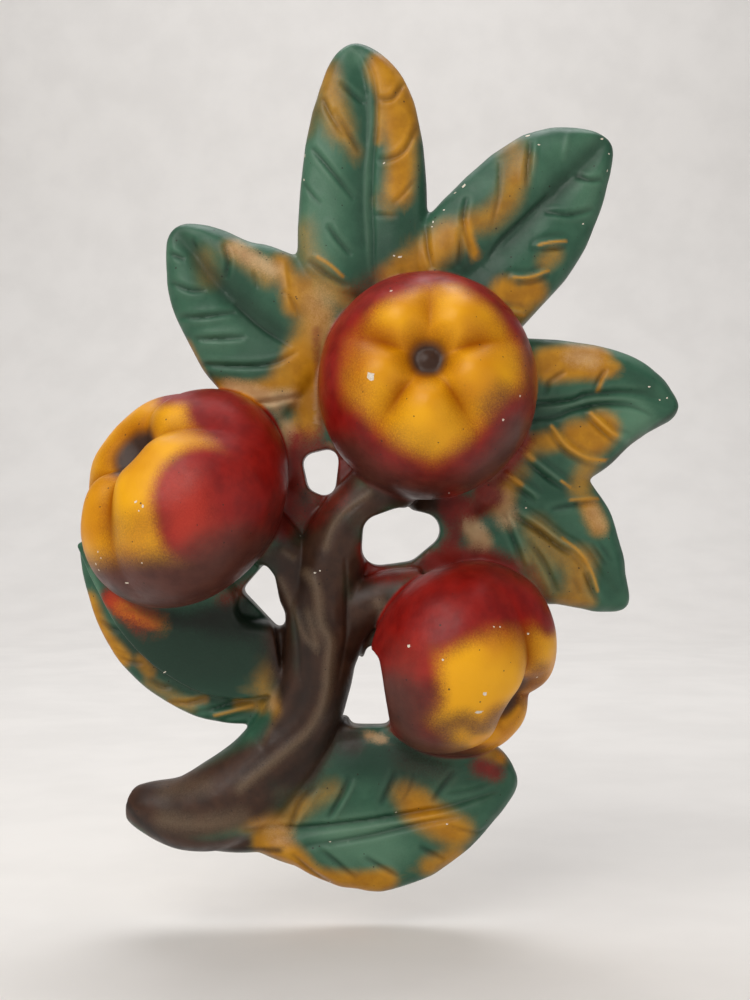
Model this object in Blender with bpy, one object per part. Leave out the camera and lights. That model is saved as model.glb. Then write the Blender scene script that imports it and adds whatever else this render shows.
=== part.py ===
# Wall plaque cast in one piece of plaster: three apples on a forked branch with seven leaves.
# Every size is in millimetres and is turned into metres once, at the end.
# x runs right and z up from the middle of the plaque, d is the distance in front of its flat back.
# The last step moves the mouth of the nail recess, from which the plaque hangs, to the origin.
import math

import bmesh
import bpy
import numpy as np
from mathutils import Matrix, Vector

MM = 0.001
TRIANGLES = 11000  # of the finished solid, before the back is cut flat
VOXEL = 1.15  # cell of the fusing step
SOFTEN = 5  # smoothing passes that round the joins as a worn mould does
BACK_SPARE = 3.0  # how far every shape runs past the back before it is cut flat
CUT_FRONT = -60.0  # where a cutter that goes right through starts, in front of the apples
CUT_BACK = 30.0  # and where it ends, behind the back

# Nail recess: a round blind hole in the back, behind the top apple.
HANG_X = -5.4
HANG_Z = 61.1
RECESS_RADIUS = 5.0
RECESS_DEPTH = 9.0

# Leaves: a middle rib from base to tip, half widths to its left and right seen along the rib,
# at these shares of its length, and heights of the surface in front of the back.
STATIONS = (0.0, 0.15, 0.3, 0.45, 0.6, 0.75, 0.86, 0.94, 0.98, 1.0)
LEAF_WALL = 4.5  # height at which a leaf edge starts to roll over
LEAF_ROLL = 4.0  # width of the rolled edge
BASE_SINK = 3.5  # how far a leaf dips where it grows out of the web
LEAVES = {
    "top": {
        "rib": ((-0.7, 68.7), (-2.1, 92.7), (-2.1, 116.8), (-3.1, 139.1), (-8.2, 157.3)),
        "left": (26.0, 25.4, 24.5, 23.6, 22.0, 19.2, 15.6, 10.6, 6.4, 0.0),
        "right": (19.0, 19.9, 20.4, 20.0, 18.9, 16.4, 12.6, 8.0, 4.6, 0.0),
        "height": (12.0, 10.0),
        "pillow": (2.2, 2.2),
        "rib_rise": 0.9,
    },
    "upper_right": {
        "rib": ((22.3, 68.7), (36.1, 80.7), (49.8, 93.4), (63.5, 107.5), (80.8, 124.2)),
        "left": (20.0, 24.2, 25.6, 25.8, 25.0, 22.0, 17.0, 10.6, 6.0, 0.0),
        "right": (25.0, 25.7, 24.6, 23.6, 20.8, 16.2, 11.0, 6.6, 4.0, 0.0),
        "height": (12.5, 9.5),
        "pillow": (3.0, 2.4),
        "rib_rise": -0.5,
    },
    "upper_left": {
        "rib": ((-17.2, 44.0), (-29.5, 53.6), (-40.5, 61.5), (-54.3, 74.2), (-62.5, 85.2), (-69.8, 93.6)),
        "left": (27.3, 28.4, 27.6, 24.8, 20.5, 15.6, 11.5, 7.2, 4.2, 0.0),
        "right": (27.0, 27.7, 27.6, 26.4, 22.9, 17.8, 12.4, 7.6, 4.6, 0.0),
        "height": (12.0, 8.5),
        "pillow": (2.4, 2.8),
        "rib_rise": -0.5,
    },
    "right": {
        "rib": ((36.1, 29.2), (53.6, 31.6), (68.7, 33.3), (83.5, 35.0), (94.4, 34.3), (105.0, 31.7)),
        "left": (25.0, 25.4, 24.0, 22.2, 19.4, 14.8, 10.0, 5.4, 2.8, 0.0),
        "right": (29.5, 30.9, 30.6, 28.0, 23.2, 17.0, 11.8, 7.3, 4.6, 0.0),
        "height": (12.0, 9.0),
        "pillow": (2.4, 3.0),
        "rib_rise": 0.5,
    },
    "lower_right": {
        "rib": ((32.6, 0.0), (50.8, -4.8), (63.5, -13.4), (73.5, -22.7), (80.7, -30.9), (87.0, -36.9)),
        "left": (24.0, 23.4, 22.9, 22.3, 18.8, 12.9, 8.6, 5.2, 3.0, 0.0),
        "right": (24.3, 28.6, 29.6, 28.2, 23.7, 17.0, 11.0, 6.0, 3.4, 0.0),
        "height": (11.0, 9.0),
        "pillow": (2.2, 2.2),
        "rib_rise": 0.7,
    },
    "bottom": {
        "rib": ((-42.9, -114.0), (-25.8, -112.6), (-8.6, -110.6), (8.6, -108.2), (49.0, -94.8)),
        "left": (22.0, 25.9, 28.9, 30.1, 29.4, 25.6, 20.2, 13.6, 8.4, 0.0),
        "right": (6.4, 13.3, 22.4, 25.3, 23.6, 18.7, 13.0, 8.0, 4.8, 0.0),
        "height": (11.5, 9.5),
        "pillow": (2.6, 2.6),
        "rib_rise": 0.8,
    },
}
# The lower left leaf is folded: a veined rim lies lower, and a smooth dome steps up inside it.
FOLD_RIB = (
    (-30.9, -65.2),
    (-46.4, -67.7),
    (-59.8, -65.2),
    (-75.6, -56.0),
    (-86.9, -44.0),
    (-95.1, -29.2),
    (-101.7, -14.8),
)
FOLD_RIM = (8.6, 9.6, 9.7, 9.4, 8.4, 6.4, 4.6, 2.6, 1.4, 0.0)
FOLD_INNER = (24.0, 30.0, 36.0, 40.0, 40.0, 36.0, 27.0, 17.0, 9.0, 0.0)
NO_WIDTH = (0.01,) * len(STATIONS)
RIM_HEIGHT = 8.0
RIM_ROLL = 3.0
DOME_HEIGHT = 14.5
DOME_WALL = 7.0
DOME_ROLL = 6.0

# Side veins: share of the rib where each vein leaves it, and how much further along it ends.
VEIN_DEPTH = 0.9
VEIN_HALF = 1.3
VEINS = {
    "top": {
        "left": ((0.08, 0.12), (0.25, 0.17), (0.44, 0.2), (0.62, 0.18)),
        "right": ((0.22, 0.02), (0.45, 0.17), (0.7, 0.14)),
    },
    "upper_right": {
        "left": ((0.2, 0.14), (0.42, 0.14), (0.6, 0.16), (0.78, 0.12)),
        "right": ((0.3, 0.12), (0.5, 0.14), (0.7, 0.14)),
    },
    "upper_left": {
        "left": ((0.25, 0.15), (0.45, 0.15), (0.66, 0.14)),
        "right": ((0.3, 0.12), (0.5, 0.16), (0.7, 0.14)),
    },
    "right": {
        "left": ((0.3, 0.12), (0.52, 0.16)),
        "right": ((0.2, 0.26), (0.36, 0.24), (0.56, 0.22)),
    },
    "lower_right": {
        "left": ((0.25, 0.17), (0.5, 0.18)),
        "right": ((0.3, 0.1), (0.52, 0.14)),
    },
    "bottom": {
        "left": ((0.3, 0.1), (0.5, 0.1), (0.68, 0.12)),
        "right": ((0.3, 0.12), (0.5, 0.12), (0.7, 0.1)),
    },
}

# Apples: middle (x, z, d), radii across (sideways, upwards), radii along the axis to the blossom end
# and to the stem end, how far the blossom end turns from the viewer and towards which bearing, the
# angle from the blossom end where the creases are deepest with how fast they fade from there, and
# each crease between two lobes: its bearing, share of the full depth and half width in degrees.
APPLES = {
    "top": {
        "at": (17.6, 38.6, 19.0),
        "across": (36.8, 38.6),
        "along": (34.0, 37.0),
        "turn": (14.5, 97.0),
        "lobe": (27.0, 4.0),
        "creases": ((16, 1.0, 36), (88, 0.8, 36), (160, 1.0, 36), (232, 1.0, 36), (304, 1.0, 36)),
    },
    "left": {
        "at": (-63.8, 0.6, 15.5),
        "across": (38.4, 41.4),
        "along": (30.5, 29.0),
        "turn": (61.0, 137.0),
        "lobe": (32.0, 2.0),
        "creases": ((57, 0.6, 30), (182, 1.0, 36), (244, 1.0, 34), (352, 0.8, 32)),
    },
    "right": {
        "at": (29.6, -54.2, 18.0),
        "across": (33.8, 36.6),
        "along": (27.2, 30.2),
        "turn": (66.0, -35.0),
        "lobe": (34.0, 1.6),
        "creases": ((66, 1.0, 45), (214, 1.0, 42), (314, 1.0, 42)),
    },
}
LOBE_SWELL = 0.15  # share of the radius from the bottom of a crease to the top of a lobe
LOBE_SHARE = 0.36  # of the swell that lies above the plain round body
HOLLOW_DEPTH = 11.0  # pit at the blossom end
HOLLOW_RADIUS = 10.0
KNOB_RADIUS = 4.8  # dried blossom at the bottom of the hollow
KNOB_HEIGHT = 3.0

# Branch: points (x, z, d, radius) along the trunk and its forks.
TRUNK = (
    (-83.5, -105.0, 3.0, 6.4),
    (-77.5, -106.0, 5.0, 9.2),
    (-65.0, -107.6, 6.0, 13.0),
    (-52.0, -104.0, 6.5, 15.4),
    (-38.5, -94.0, 7.0, 15.0),
    (-27.0, -78.0, 8.0, 13.4),
    (-20.5, -62.0, 9.0, 12.4),
    (-18.5, -48.0, 9.5, 12.2),
    (-18.5, -34.0, 9.5, 12.0),
    (-15.0, -20.0, 9.5, 11.6),
    (-9.0, -8.0, 10.0, 11.0),
    (2.0, 4.0, 12.0, 11.0),
    (12.0, 14.0, 14.0, 12.0),
)
LEFT_FORK = (
    (-18.5, -44.0, 9.0, 9.0),
    (-26.0, -29.0, 9.5, 8.6),
    (-33.0, -17.0, 10.0, 9.0),
    (-42.0, -8.0, 11.0, 10.0),
)
RIGHT_FORK = (
    (-15.0, -54.0, 9.0, 8.6),
    (-8.0, -39.5, 9.5, 8.4),
    (3.4, -33.5, 10.0, 8.8),
    (16.0, -33.0, 12.0, 10.0),
)
LEAF_STALK = (
    (-38.2, -71.7, 6.0, 4.0),
    (-33.5, -70.5, 8.0, 4.5),
    (-31.4, -75.0, 13.0, 5.0),
    (-33.8, -82.8, 16.5, 5.0),
    (-38.2, -89.6, 15.5, 4.0),
)

# Webs of plaster that tie fruit, branch and leaves: (x, z, half width, half height, turn, height).
WEBS = (
    (-32.0, 22.0, 26.0, 17.0, -35.0, 9.0),
    (-20.0, 16.0, 11.0, 24.0, -10.0, 9.0),
    (-17.0, 38.0, 14.0, 16.0, 0.0, 10.0),
    (-27.0, -8.0, 12.0, 16.0, 20.0, 8.5),
    (33.0, -8.0, 22.0, 20.0, 25.0, 9.5),
    (0.0, 7.0, 20.0, 11.0, 0.0, 9.5),
    (12.0, -24.0, 24.0, 9.0, -6.0, 8.5),
    (0.0, -46.0, 10.0, 10.0, 0.0, 9.0),
    (-46.0, -30.0, 14.0, 16.0, 0.0, 9.0),
    (-30.0, -54.0, 9.0, 13.0, 0.0, 9.0),
    (-12.0, -84.0, 26.0, 9.0, 0.0, 9.5),
    (16.0, -84.0, 24.0, 14.0, 10.0, 9.5),
    (-46.0, -112.6, 25.0, 9.6, 0.0, 12.0),
)

# Through gaps between branch and fruit: corners of each and the radius that rounds them.
GAPS = {
    "small": (((-19.6, 6.5), (-20.9, 12.5), (-16.5, 13.5), (-17.5, 5.6)), 4.0),
    "large": (((1.4, -16.6), (1.8, -11.0), (8.5, -8.6), (16.4, -10.4), (10.5, -15.4)), 6.0),
    "left": (((-37.6, -24.0), (-35.7, -26.5), (-33.2, -42.2), (-43.7, -31.0)), 1.8),
    "right": (((-0.9, -52.5), (-6.6, -75.6), (2.9, -75.6)), 2.4),
}


def through(points, count):
    """A smooth curve through the points, as rows at even spacing along its length."""
    rows = np.array(points, float)
    rows = np.vstack([2 * rows[0] - rows[1], rows, 2 * rows[-1] - rows[-2]])
    out = []
    for a, b, c, e in zip(rows, rows[1:], rows[2:], rows[3:]):
        for t in np.linspace(0, 1, 40, endpoint=False):
            bend = (2 * a - 5 * b + 4 * c - e) * t * t + (3 * b - a - 3 * c + e) * t**3
            out.append(0.5 * (2 * b + (c - a) * t + bend))
    out = np.array(out + [rows[-2]])
    steps = np.linalg.norm(np.diff(out[:, :2], axis=0), axis=1)
    along = np.concatenate([[0], np.cumsum(steps)])
    even = np.linspace(0, along[-1], count)
    return np.stack([np.interp(even, along, column) for column in out.T], 1)


def width_at(widths, share):
    """Half width at shares of the rib, with a round end at the tip."""
    return np.sqrt(np.interp(share, STATIONS, np.square(widths)))


def rib_frame(rib, count):
    """Points of the rib and the direction to its left at each."""
    line = through(rib, count)
    run = np.gradient(line, axis=0)
    run /= np.linalg.norm(run, axis=1)[:, None]
    return line, np.stack([-run[:, 1], run[:, 0]], 1)


def leaf_point(leaf, share, across):
    """Plaque position at a share of the rib and a share of the half width, left above zero."""
    line, left = rib_frame(leaf["rib"], 121)
    index = int(round(share * 120))
    side = leaf["left"] if across > 0 else leaf["right"]
    return line[index] + left[index] * across * width_at(side, share)


def closed_sheet(name, xz, height):
    """A closed body from a grid of plaque positions and heights, running past the back."""
    rows, columns = height.shape
    front = [(x, -d, z) for (x, z), d in zip(xz.reshape(-1, 2), height.ravel())]
    back = [(x, BACK_SPARE, z) for x, z in xz.reshape(-1, 2)]
    half = rows * columns
    faces = []
    for i in range(rows - 1):
        for j in range(columns - 1):
            a = i * columns + j
            quad = (a, a + 1, a + columns + 1, a + columns)
            faces.append(quad)
            faces.append(tuple(half + k for k in reversed(quad)))
    rim = [j for j in range(columns)]
    rim += [i * columns + columns - 1 for i in range(1, rows)]
    rim += [(rows - 1) * columns + j for j in range(columns - 2, -1, -1)]
    rim += [i * columns for i in range(rows - 2, 0, -1)]
    for a, b in zip(rim, rim[1:] + rim[:1]):
        faces.append((b, a, half + a, half + b))
    return mesh_of(name, front + back, faces)


def mesh_of(name, points, faces):
    mesh = bpy.data.meshes.new(name)
    mesh.from_pydata([tuple(p) for p in points], [], faces)
    work = bmesh.new()
    work.from_mesh(mesh)
    bmesh.ops.remove_doubles(work, verts=work.verts, dist=0.001)
    bmesh.ops.recalc_face_normals(work, faces=work.faces)
    work.to_mesh(mesh)
    work.free()
    return mesh


def rolled(top, wall, reach, roll):
    """Height of a surface whose edge rolls over a quarter round within the roll width."""
    share = np.clip(reach / roll, 0, 1)
    return wall + (top - wall) * np.sqrt(1 - (1 - share) ** 2)


def leaf_sheet(name, leaf):
    rows, columns = 72, 49
    share = 1 - (1 - np.linspace(0, 1, rows)) ** 1.5
    line, left = rib_frame(leaf["rib"], 721)
    index = np.round(share * 720).astype(int)
    across = np.sin(np.linspace(-1, 1, columns) * math.pi / 2)
    half = np.where(
        across[None, :] > 0,
        width_at(leaf["left"], share)[:, None],
        width_at(leaf["right"], share)[:, None],
    )
    slope = np.gradient(half, axis=0) / np.gradient(share * len_of(line))[:, None]
    reach = (1 - np.abs(across))[None, :] * half / np.sqrt(1 + slope**2)
    reach = np.minimum(reach, share[:, None] * len_of(line) + 0.6)
    first, last = leaf["height"]
    swell = np.where(across > 0, leaf["pillow"][0], leaf["pillow"][1])
    bulge = np.sin(np.clip(np.abs(across) / 0.9, 0, 1) * math.pi) * swell
    fade = np.sin(np.clip((1 - share) * 4, 0, 1) * math.pi / 2)
    top = first + (last - first) * share[:, None] + bulge[None, :] * fade[:, None]
    top -= BASE_SINK * (1 - np.clip(share / 0.18, 0, 1)[:, None]) ** 2
    xz = line[index][:, None, :] + left[index][:, None, :] * (across[None, :] * half)[..., None]
    return closed_sheet(name, xz, rolled(top, LEAF_WALL, reach, LEAF_ROLL))


def len_of(line):
    return np.linalg.norm(np.diff(line, axis=0), axis=1).sum()


def fold_sheet(name, outer, inner, top, wall, roll):
    """One layer of the folded leaf, between its rib and the stated widths to each side."""
    rows, columns = 72, 41
    share = 1 - (1 - np.linspace(0, 1, rows)) ** 1.5
    line, left = rib_frame(FOLD_RIB, 721)
    index = np.round(share * 720).astype(int)
    across = np.sin(np.linspace(-1, 1, columns) * math.pi / 2)
    half = np.where(
        across[None, :] > 0,
        width_at(outer, share)[:, None],
        width_at(inner, share)[:, None],
    )
    reach = (1 - np.abs(across))[None, :] * half
    xz = line[index][:, None, :] + left[index][:, None, :] * (across[None, :] * half)[..., None]
    return closed_sheet(name, xz, rolled(np.full(half.shape, top), wall, reach, roll))


def axis_of(apple):
    turn, bearing = (math.radians(angle) for angle in apple["turn"])
    return Vector(
        (math.sin(turn) * math.cos(bearing), -math.cos(turn), math.sin(turn) * math.sin(bearing))
    )


def creased(apple, around):
    """How far the creases of an apple cut in at a bearing, as a share of their full depth."""
    cut = 0.0
    for bearing, share, half in apple["creases"]:
        off = abs((math.degrees(around) - bearing + 180) % 360 - 180)
        cut += share * (1 - math.sin(min(off / half, 1.0) * math.pi / 2))
    return cut


def apple_mesh(name, apple):
    """A lobed apple: round creases run out of a pit at the blossom end and fade at the waist."""
    rings, spokes = 64, 110
    axis = axis_of(apple)
    east = (Vector((1, 0, 0)) - axis * axis.x).normalized()
    north = axis.cross(east)
    sideways, upwards = apple["across"]
    x, z, d = apple["at"]
    deepest, fade = apple["lobe"]
    points = []
    for i in range(rings + 1):
        polar = math.pi * i / rings
        turn = math.degrees(polar) / deepest
        fullness = (turn * math.exp(1 - turn)) ** fade
        along = apple["along"][0 if polar < math.pi / 2 else 1]
        for k in range(spokes):
            around = 2 * math.pi * k / spokes
            grow = 1 + LOBE_SWELL * (LOBE_SHARE - creased(apple, around)) * fullness
            u = sideways * math.sin(polar) * math.cos(around) * grow
            v = upwards * math.sin(polar) * math.sin(around) * grow
            pit = HOLLOW_DEPTH * math.exp(-(u * u + v * v) / HOLLOW_RADIUS**2) * (polar < 1.2)
            spot = axis * (along * math.cos(polar) * grow - pit) + east * u + north * v
            points.append((x + spot.x, -d + spot.y, z + spot.z))
    faces = []
    for i in range(rings):
        for k in range(spokes):
            a = i * spokes + k
            b = i * spokes + (k + 1) % spokes
            faces.append((a, b, b + spokes, a + spokes))
    return mesh_of(name, points, faces)


def knob_mesh(name, apple):
    """The dried blossom, a small bead at the bottom of the hollow."""
    axis = axis_of(apple)
    x, z, d = apple["at"]
    reach = apple["along"][0] - HOLLOW_DEPTH + KNOB_HEIGHT - KNOB_RADIUS
    work = bmesh.new()
    bmesh.ops.create_icosphere(work, subdivisions=3, radius=KNOB_RADIUS)
    bmesh.ops.translate(work, verts=work.verts, vec=Vector((x, -d, z)) + axis * reach)
    mesh = bpy.data.meshes.new(name)
    work.to_mesh(mesh)
    work.free()
    return mesh


def limb_mesh(name, points):
    """A round limb through points (x, z, d, radius), closed at both ends."""
    spokes = 28
    rows = through(points, 48)
    centre = np.stack([rows[:, 0], -rows[:, 2], rows[:, 1]], 1)
    run = np.gradient(centre, axis=0)
    ring = []
    for spot, way, radius in zip(centre, run, rows[:, 3]):
        way = Vector(way).normalized()
        side = way.cross(Vector((0, -1, 0))).normalized()
        up = side.cross(way)
        for k in range(spokes):
            around = 2 * math.pi * k / spokes
            ring.append(Vector(spot) + side * (radius * math.cos(around)) + up * (radius * math.sin(around)))
    faces = [tuple(range(spokes - 1, -1, -1)), tuple(len(ring) - spokes + k for k in range(spokes))]
    for i in range(len(rows) - 1):
        for k in range(spokes):
            a = i * spokes + k
            b = i * spokes + (k + 1) % spokes
            faces.append((a, b, b + spokes, a + spokes))
    return mesh_of(name, ring, faces)


def web_mesh(name, x, z, wide, high, turn, height):
    """A low cushion with steep edges."""
    rings, spokes = 12, 40
    turn = math.radians(turn)
    share = np.sin(np.linspace(0, 1, rings) * math.pi / 2)
    around = np.linspace(0, 2 * math.pi, spokes + 1)
    u = share[:, None] * np.cos(around) * wide
    v = share[:, None] * np.sin(around) * high
    xz = np.stack(
        [x + u * math.cos(turn) - v * math.sin(turn), z + u * math.sin(turn) + v * math.cos(turn)], -1
    )
    tops = height * (1 - share**5) ** 0.5
    return closed_sheet(name, xz, np.repeat(tops[:, None], spokes + 1, 1))


def outward(start, end):
    """Bearing of the outer side of an edge of a ring that runs anticlockwise."""
    return math.atan2(start[0] - end[0], end[1] - start[1])


def gap_cutter(name, corners, radius):
    """A bar with rounded corners that runs through the plaque."""
    outline = []
    middle = np.mean(corners, axis=0)
    ring = sorted(corners, key=lambda c: math.atan2(c[1] - middle[1], c[0] - middle[0]))
    for before, corner, after in zip(ring[-1:] + ring[:-1], ring, ring[1:] + ring[:1]):
        start = outward(before, corner)
        sweep = (outward(corner, after) - start) % (2 * math.pi)
        for k in range(7):
            angle = start + sweep * k / 6
            outline.append((corner[0] + radius * math.cos(angle), corner[1] + radius * math.sin(angle)))
    return helper(name, bar(name, outline, CUT_FRONT, CUT_BACK))


def bar(name, outline, front, back):
    """A straight bar with the outline (x, z), between two places along y."""
    count = len(outline)
    points = [(x, front, z) for x, z in outline] + [(x, back, z) for x, z in outline]
    faces = [tuple(range(count)), tuple(range(2 * count - 1, count - 1, -1))]
    faces += [(k, k + count, (k + 1) % count + count, (k + 1) % count) for k in range(count)]
    return mesh_of(name, points, faces)


def helper(name, mesh):
    """An object used only as a cutter."""
    made = bpy.data.objects.new(name, mesh)
    bpy.context.scene.collection.objects.link(made)
    made.hide_render = True
    made.display_type = "WIRE"
    return made


def evaluated(obj):
    """The object's mesh with its modifiers applied."""
    graph = bpy.context.evaluated_depsgraph_get()
    graph.update()
    return bpy.data.meshes.new_from_object(obj.evaluated_get(graph))


def add_remesh(obj):
    fuse = obj.modifiers.new("fuse", "REMESH")
    fuse.mode = "VOXEL"
    fuse.voxel_size = VOXEL


def segment_distance(spots, path):
    """Distance in the plane from each spot to a path, and the share of the path at that place."""
    best = np.full(len(spots), 1e9)
    place = np.zeros(len(spots))
    count = len(path) - 1
    for i in range(count):
        a, b = np.array(path[i]), np.array(path[i + 1])
        t = np.clip(((spots - a) @ (b - a)) / ((b - a) @ (b - a)), 0, 1)
        gap = np.linalg.norm(spots - (a + t[:, None] * (b - a)), axis=1)
        near = gap < best
        best[near] = gap[near]
        place[near] = (i + t[near]) / count
    return best, place


def carve(mesh):
    """Raises the ribs and cuts the side veins of the leaves into the fused surface."""
    count = len(mesh.vertices)
    points = np.empty(count * 3)
    mesh.vertices.foreach_get("co", points)
    points = points.reshape(-1, 3)
    spots = points[:, [0, 2]]
    shift = np.zeros(count)
    for name, leaf in LEAVES.items():
        rib = [leaf_point(leaf, share, 0.0) for share in np.linspace(0.05, 0.94, 12)]
        gap, place = segment_distance(spots, rib)
        taper = np.clip((1 - place) * 5, 0.3, 1)
        ridge = np.exp(-((gap / 1.3) ** 2)) * max(leaf["rib_rise"], 0.0)
        groove = np.exp(-(((gap - 2.6) / 1.4) ** 2)) * 0.55
        shift += (ridge - groove) * taper
        for side, sign in (("left", 1), ("right", -1)):
            for leave, further in VEINS[name][side]:
                steps = [(leave + further * t**1.3, sign * (0.06 + 0.76 * t)) for t in np.linspace(0, 1, 6)]
                gap, place = segment_distance(spots, [leaf_point(leaf, *step) for step in steps])
                fade = np.sin(np.clip(place * 1.1 + 0.1, 0, 1) * math.pi) ** 0.5
                shift -= VEIN_DEPTH * np.exp(-((gap / VEIN_HALF) ** 2)) * fade
    free = points[:, 1] < -LEAF_WALL
    free &= points[:, 1] > -18.5
    for apple in APPLES.values():
        x, z, _ = apple["at"]
        free &= np.hypot(spots[:, 0] - x, spots[:, 1] - z) > apple["across"][0] * 0.97
    points[:, 1] -= np.where(free, shift, 0.0)
    mesh.vertices.foreach_set("co", points.ravel())
    mesh.update()


for old in list(bpy.data.objects):
    bpy.data.objects.remove(old, do_unlink=True)

shapes = [leaf_sheet("leaf_" + name, leaf) for name, leaf in LEAVES.items()]
shapes.append(fold_sheet("leaf_rim", FOLD_RIM, FOLD_INNER, RIM_HEIGHT, LEAF_WALL, RIM_ROLL))
shapes.append(fold_sheet("leaf_dome", NO_WIDTH, FOLD_INNER, DOME_HEIGHT, DOME_WALL, DOME_ROLL))
shapes += [apple_mesh("apple_" + name, apple) for name, apple in APPLES.items()]
shapes += [knob_mesh("knob_" + name, apple) for name, apple in APPLES.items()]
shapes += [limb_mesh("limb", limb) for limb in (TRUNK, LEFT_FORK, RIGHT_FORK, LEAF_STALK)]
shapes += [web_mesh("web", *web) for web in WEBS]

together = bmesh.new()
for shape in shapes:
    together.from_mesh(shape)
joined = bpy.data.meshes.new("joined")
together.to_mesh(joined)
together.free()

# First fusing joins the shapes, the gaps are cut through, and a second fusing rounds them.
rough = helper("fused_shapes", joined)
add_remesh(rough)
for name, (corners, radius) in GAPS.items():
    cut = rough.modifiers.new(name, "BOOLEAN")
    cut.operation = "DIFFERENCE"
    cut.solver = "EXACT"
    cut.object = gap_cutter("gap_" + name, corners, radius)
fused = helper("smoothed_shapes", evaluated(rough))
add_remesh(fused)
soften = fused.modifiers.new("soften", "SMOOTH")
soften.factor = 0.5
soften.iterations = round(SOFTEN)
surface = evaluated(fused)
carve(surface)
reduced = helper("carved_shapes", surface)
settle = reduced.modifiers.new("settle", "DECIMATE")
settle.ratio = min(1.0, TRIANGLES / (2 * len(surface.polygons)))
body = evaluated(reduced)

# Everything is turned to metres and moved so that the recess mouth is the origin.
to_metres = Matrix.Scale(MM, 4) @ Matrix.Translation((-HANG_X, 0.0, -HANG_Z))
body.transform(to_metres)
body.polygons.foreach_set("use_smooth", [True] * len(body.polygons))
for done in (reduced, fused, rough):
    bpy.data.objects.remove(done, do_unlink=True)
for name in GAPS:
    bpy.data.objects.remove(bpy.data.objects["gap_" + name], do_unlink=True)

plaster = bpy.data.materials.new("painted_plaster")
plaster.use_nodes = True
shader = plaster.node_tree.nodes["Principled BSDF"]
shader.inputs["Base Color"].default_value = (0.07, 0.16, 0.11, 1.0)
shader.inputs["Roughness"].default_value = 0.4
body.materials.clear()
body.materials.append(plaster)
plaque = bpy.data.objects.new("cast_plaque", body)
bpy.context.scene.collection.objects.link(plaque)

# The back is cut flat, and the nail recess is bored into it.
span = max(plaque.dimensions) / MM
block = ((-span, -span), (span, -span), (span, span), (-span, span))
circle = [
    (RECESS_RADIUS * math.cos(2 * math.pi * k / 32), RECESS_RADIUS * math.sin(2 * math.pi * k / 32))
    for k in range(32)
]
for name, outline, front, back in (
    ("flat_back", block, 0.0, CUT_BACK),
    ("nail_recess", circle, -RECESS_DEPTH, CUT_BACK / 2),
):
    cutter = helper("cut_" + name, bar(name, outline, front, back))
    cutter.data.transform(Matrix.Scale(MM, 4))
    cut = plaque.modifiers.new(name, "BOOLEAN")
    cut.operation = "DIFFERENCE"
    cut.solver = "EXACT"
    cut.object = cutter
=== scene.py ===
# Looks of a painted plaster wall plaque: three apples on a forked branch with seven leaves.
# Sizes are in millimetres unless a name says otherwise, and are turned into metres once.
# x runs right and z up from the middle of the plaque, d is the distance in front of its back.
import math

import bmesh
import bpy
import numpy as np
from mathutils import Matrix, Quaternion, Vector, noise
from mathutils.bvhtree import BVHTree


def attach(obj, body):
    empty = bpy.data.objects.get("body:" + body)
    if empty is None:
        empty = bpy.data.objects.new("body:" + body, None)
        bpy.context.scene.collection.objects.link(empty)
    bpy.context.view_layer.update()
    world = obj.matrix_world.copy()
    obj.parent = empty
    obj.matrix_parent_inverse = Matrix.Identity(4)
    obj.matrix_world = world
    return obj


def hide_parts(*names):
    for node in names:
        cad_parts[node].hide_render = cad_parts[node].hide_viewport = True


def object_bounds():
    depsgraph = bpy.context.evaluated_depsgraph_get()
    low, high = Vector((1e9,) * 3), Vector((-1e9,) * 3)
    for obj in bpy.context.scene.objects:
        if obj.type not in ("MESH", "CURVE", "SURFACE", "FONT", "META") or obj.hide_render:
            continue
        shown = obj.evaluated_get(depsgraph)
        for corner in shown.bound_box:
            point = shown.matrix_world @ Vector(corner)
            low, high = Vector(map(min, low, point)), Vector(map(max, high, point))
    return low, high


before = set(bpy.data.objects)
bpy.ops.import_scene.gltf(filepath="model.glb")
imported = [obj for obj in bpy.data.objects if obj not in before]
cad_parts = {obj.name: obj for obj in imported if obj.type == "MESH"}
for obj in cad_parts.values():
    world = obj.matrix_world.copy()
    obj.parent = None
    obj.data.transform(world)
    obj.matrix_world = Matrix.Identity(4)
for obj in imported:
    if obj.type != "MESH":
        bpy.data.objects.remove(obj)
cad_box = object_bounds()

# Cast body. The real plaque is one solid casting in white gypsum plaster, poured into a flexible
# mould taken from a clay model, with its back struck off flat. Leaves, apples and branch are laid
# up here as the modeller's clay was, and are then fused and softened as one mass.
MM = 0.001
HANG_X = -5.4  # the nail recess, which is the origin of the frame, seen from the middle
HANG_Z = 61.1
CELL = 0.62  # cell of the fusing step
SOFTEN = 19  # smoothing passes over the fused mass
CAST_TRIANGLES = 236000  # before the back is struck off
BACK_SPARE = 3.0  # of clay behind the back, which is cut off last
CUT_FRONT = -60.0
CUT_BACK = 30.0
RECESS_RADIUS = 5.0
RECESS_DEPTH = 9.0
ROUND_STEPS = 12  # facets of a rounded corner, a quarter of those of a hole
SPAN_STEPS = 40  # steps of a curve between two of its points

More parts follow.
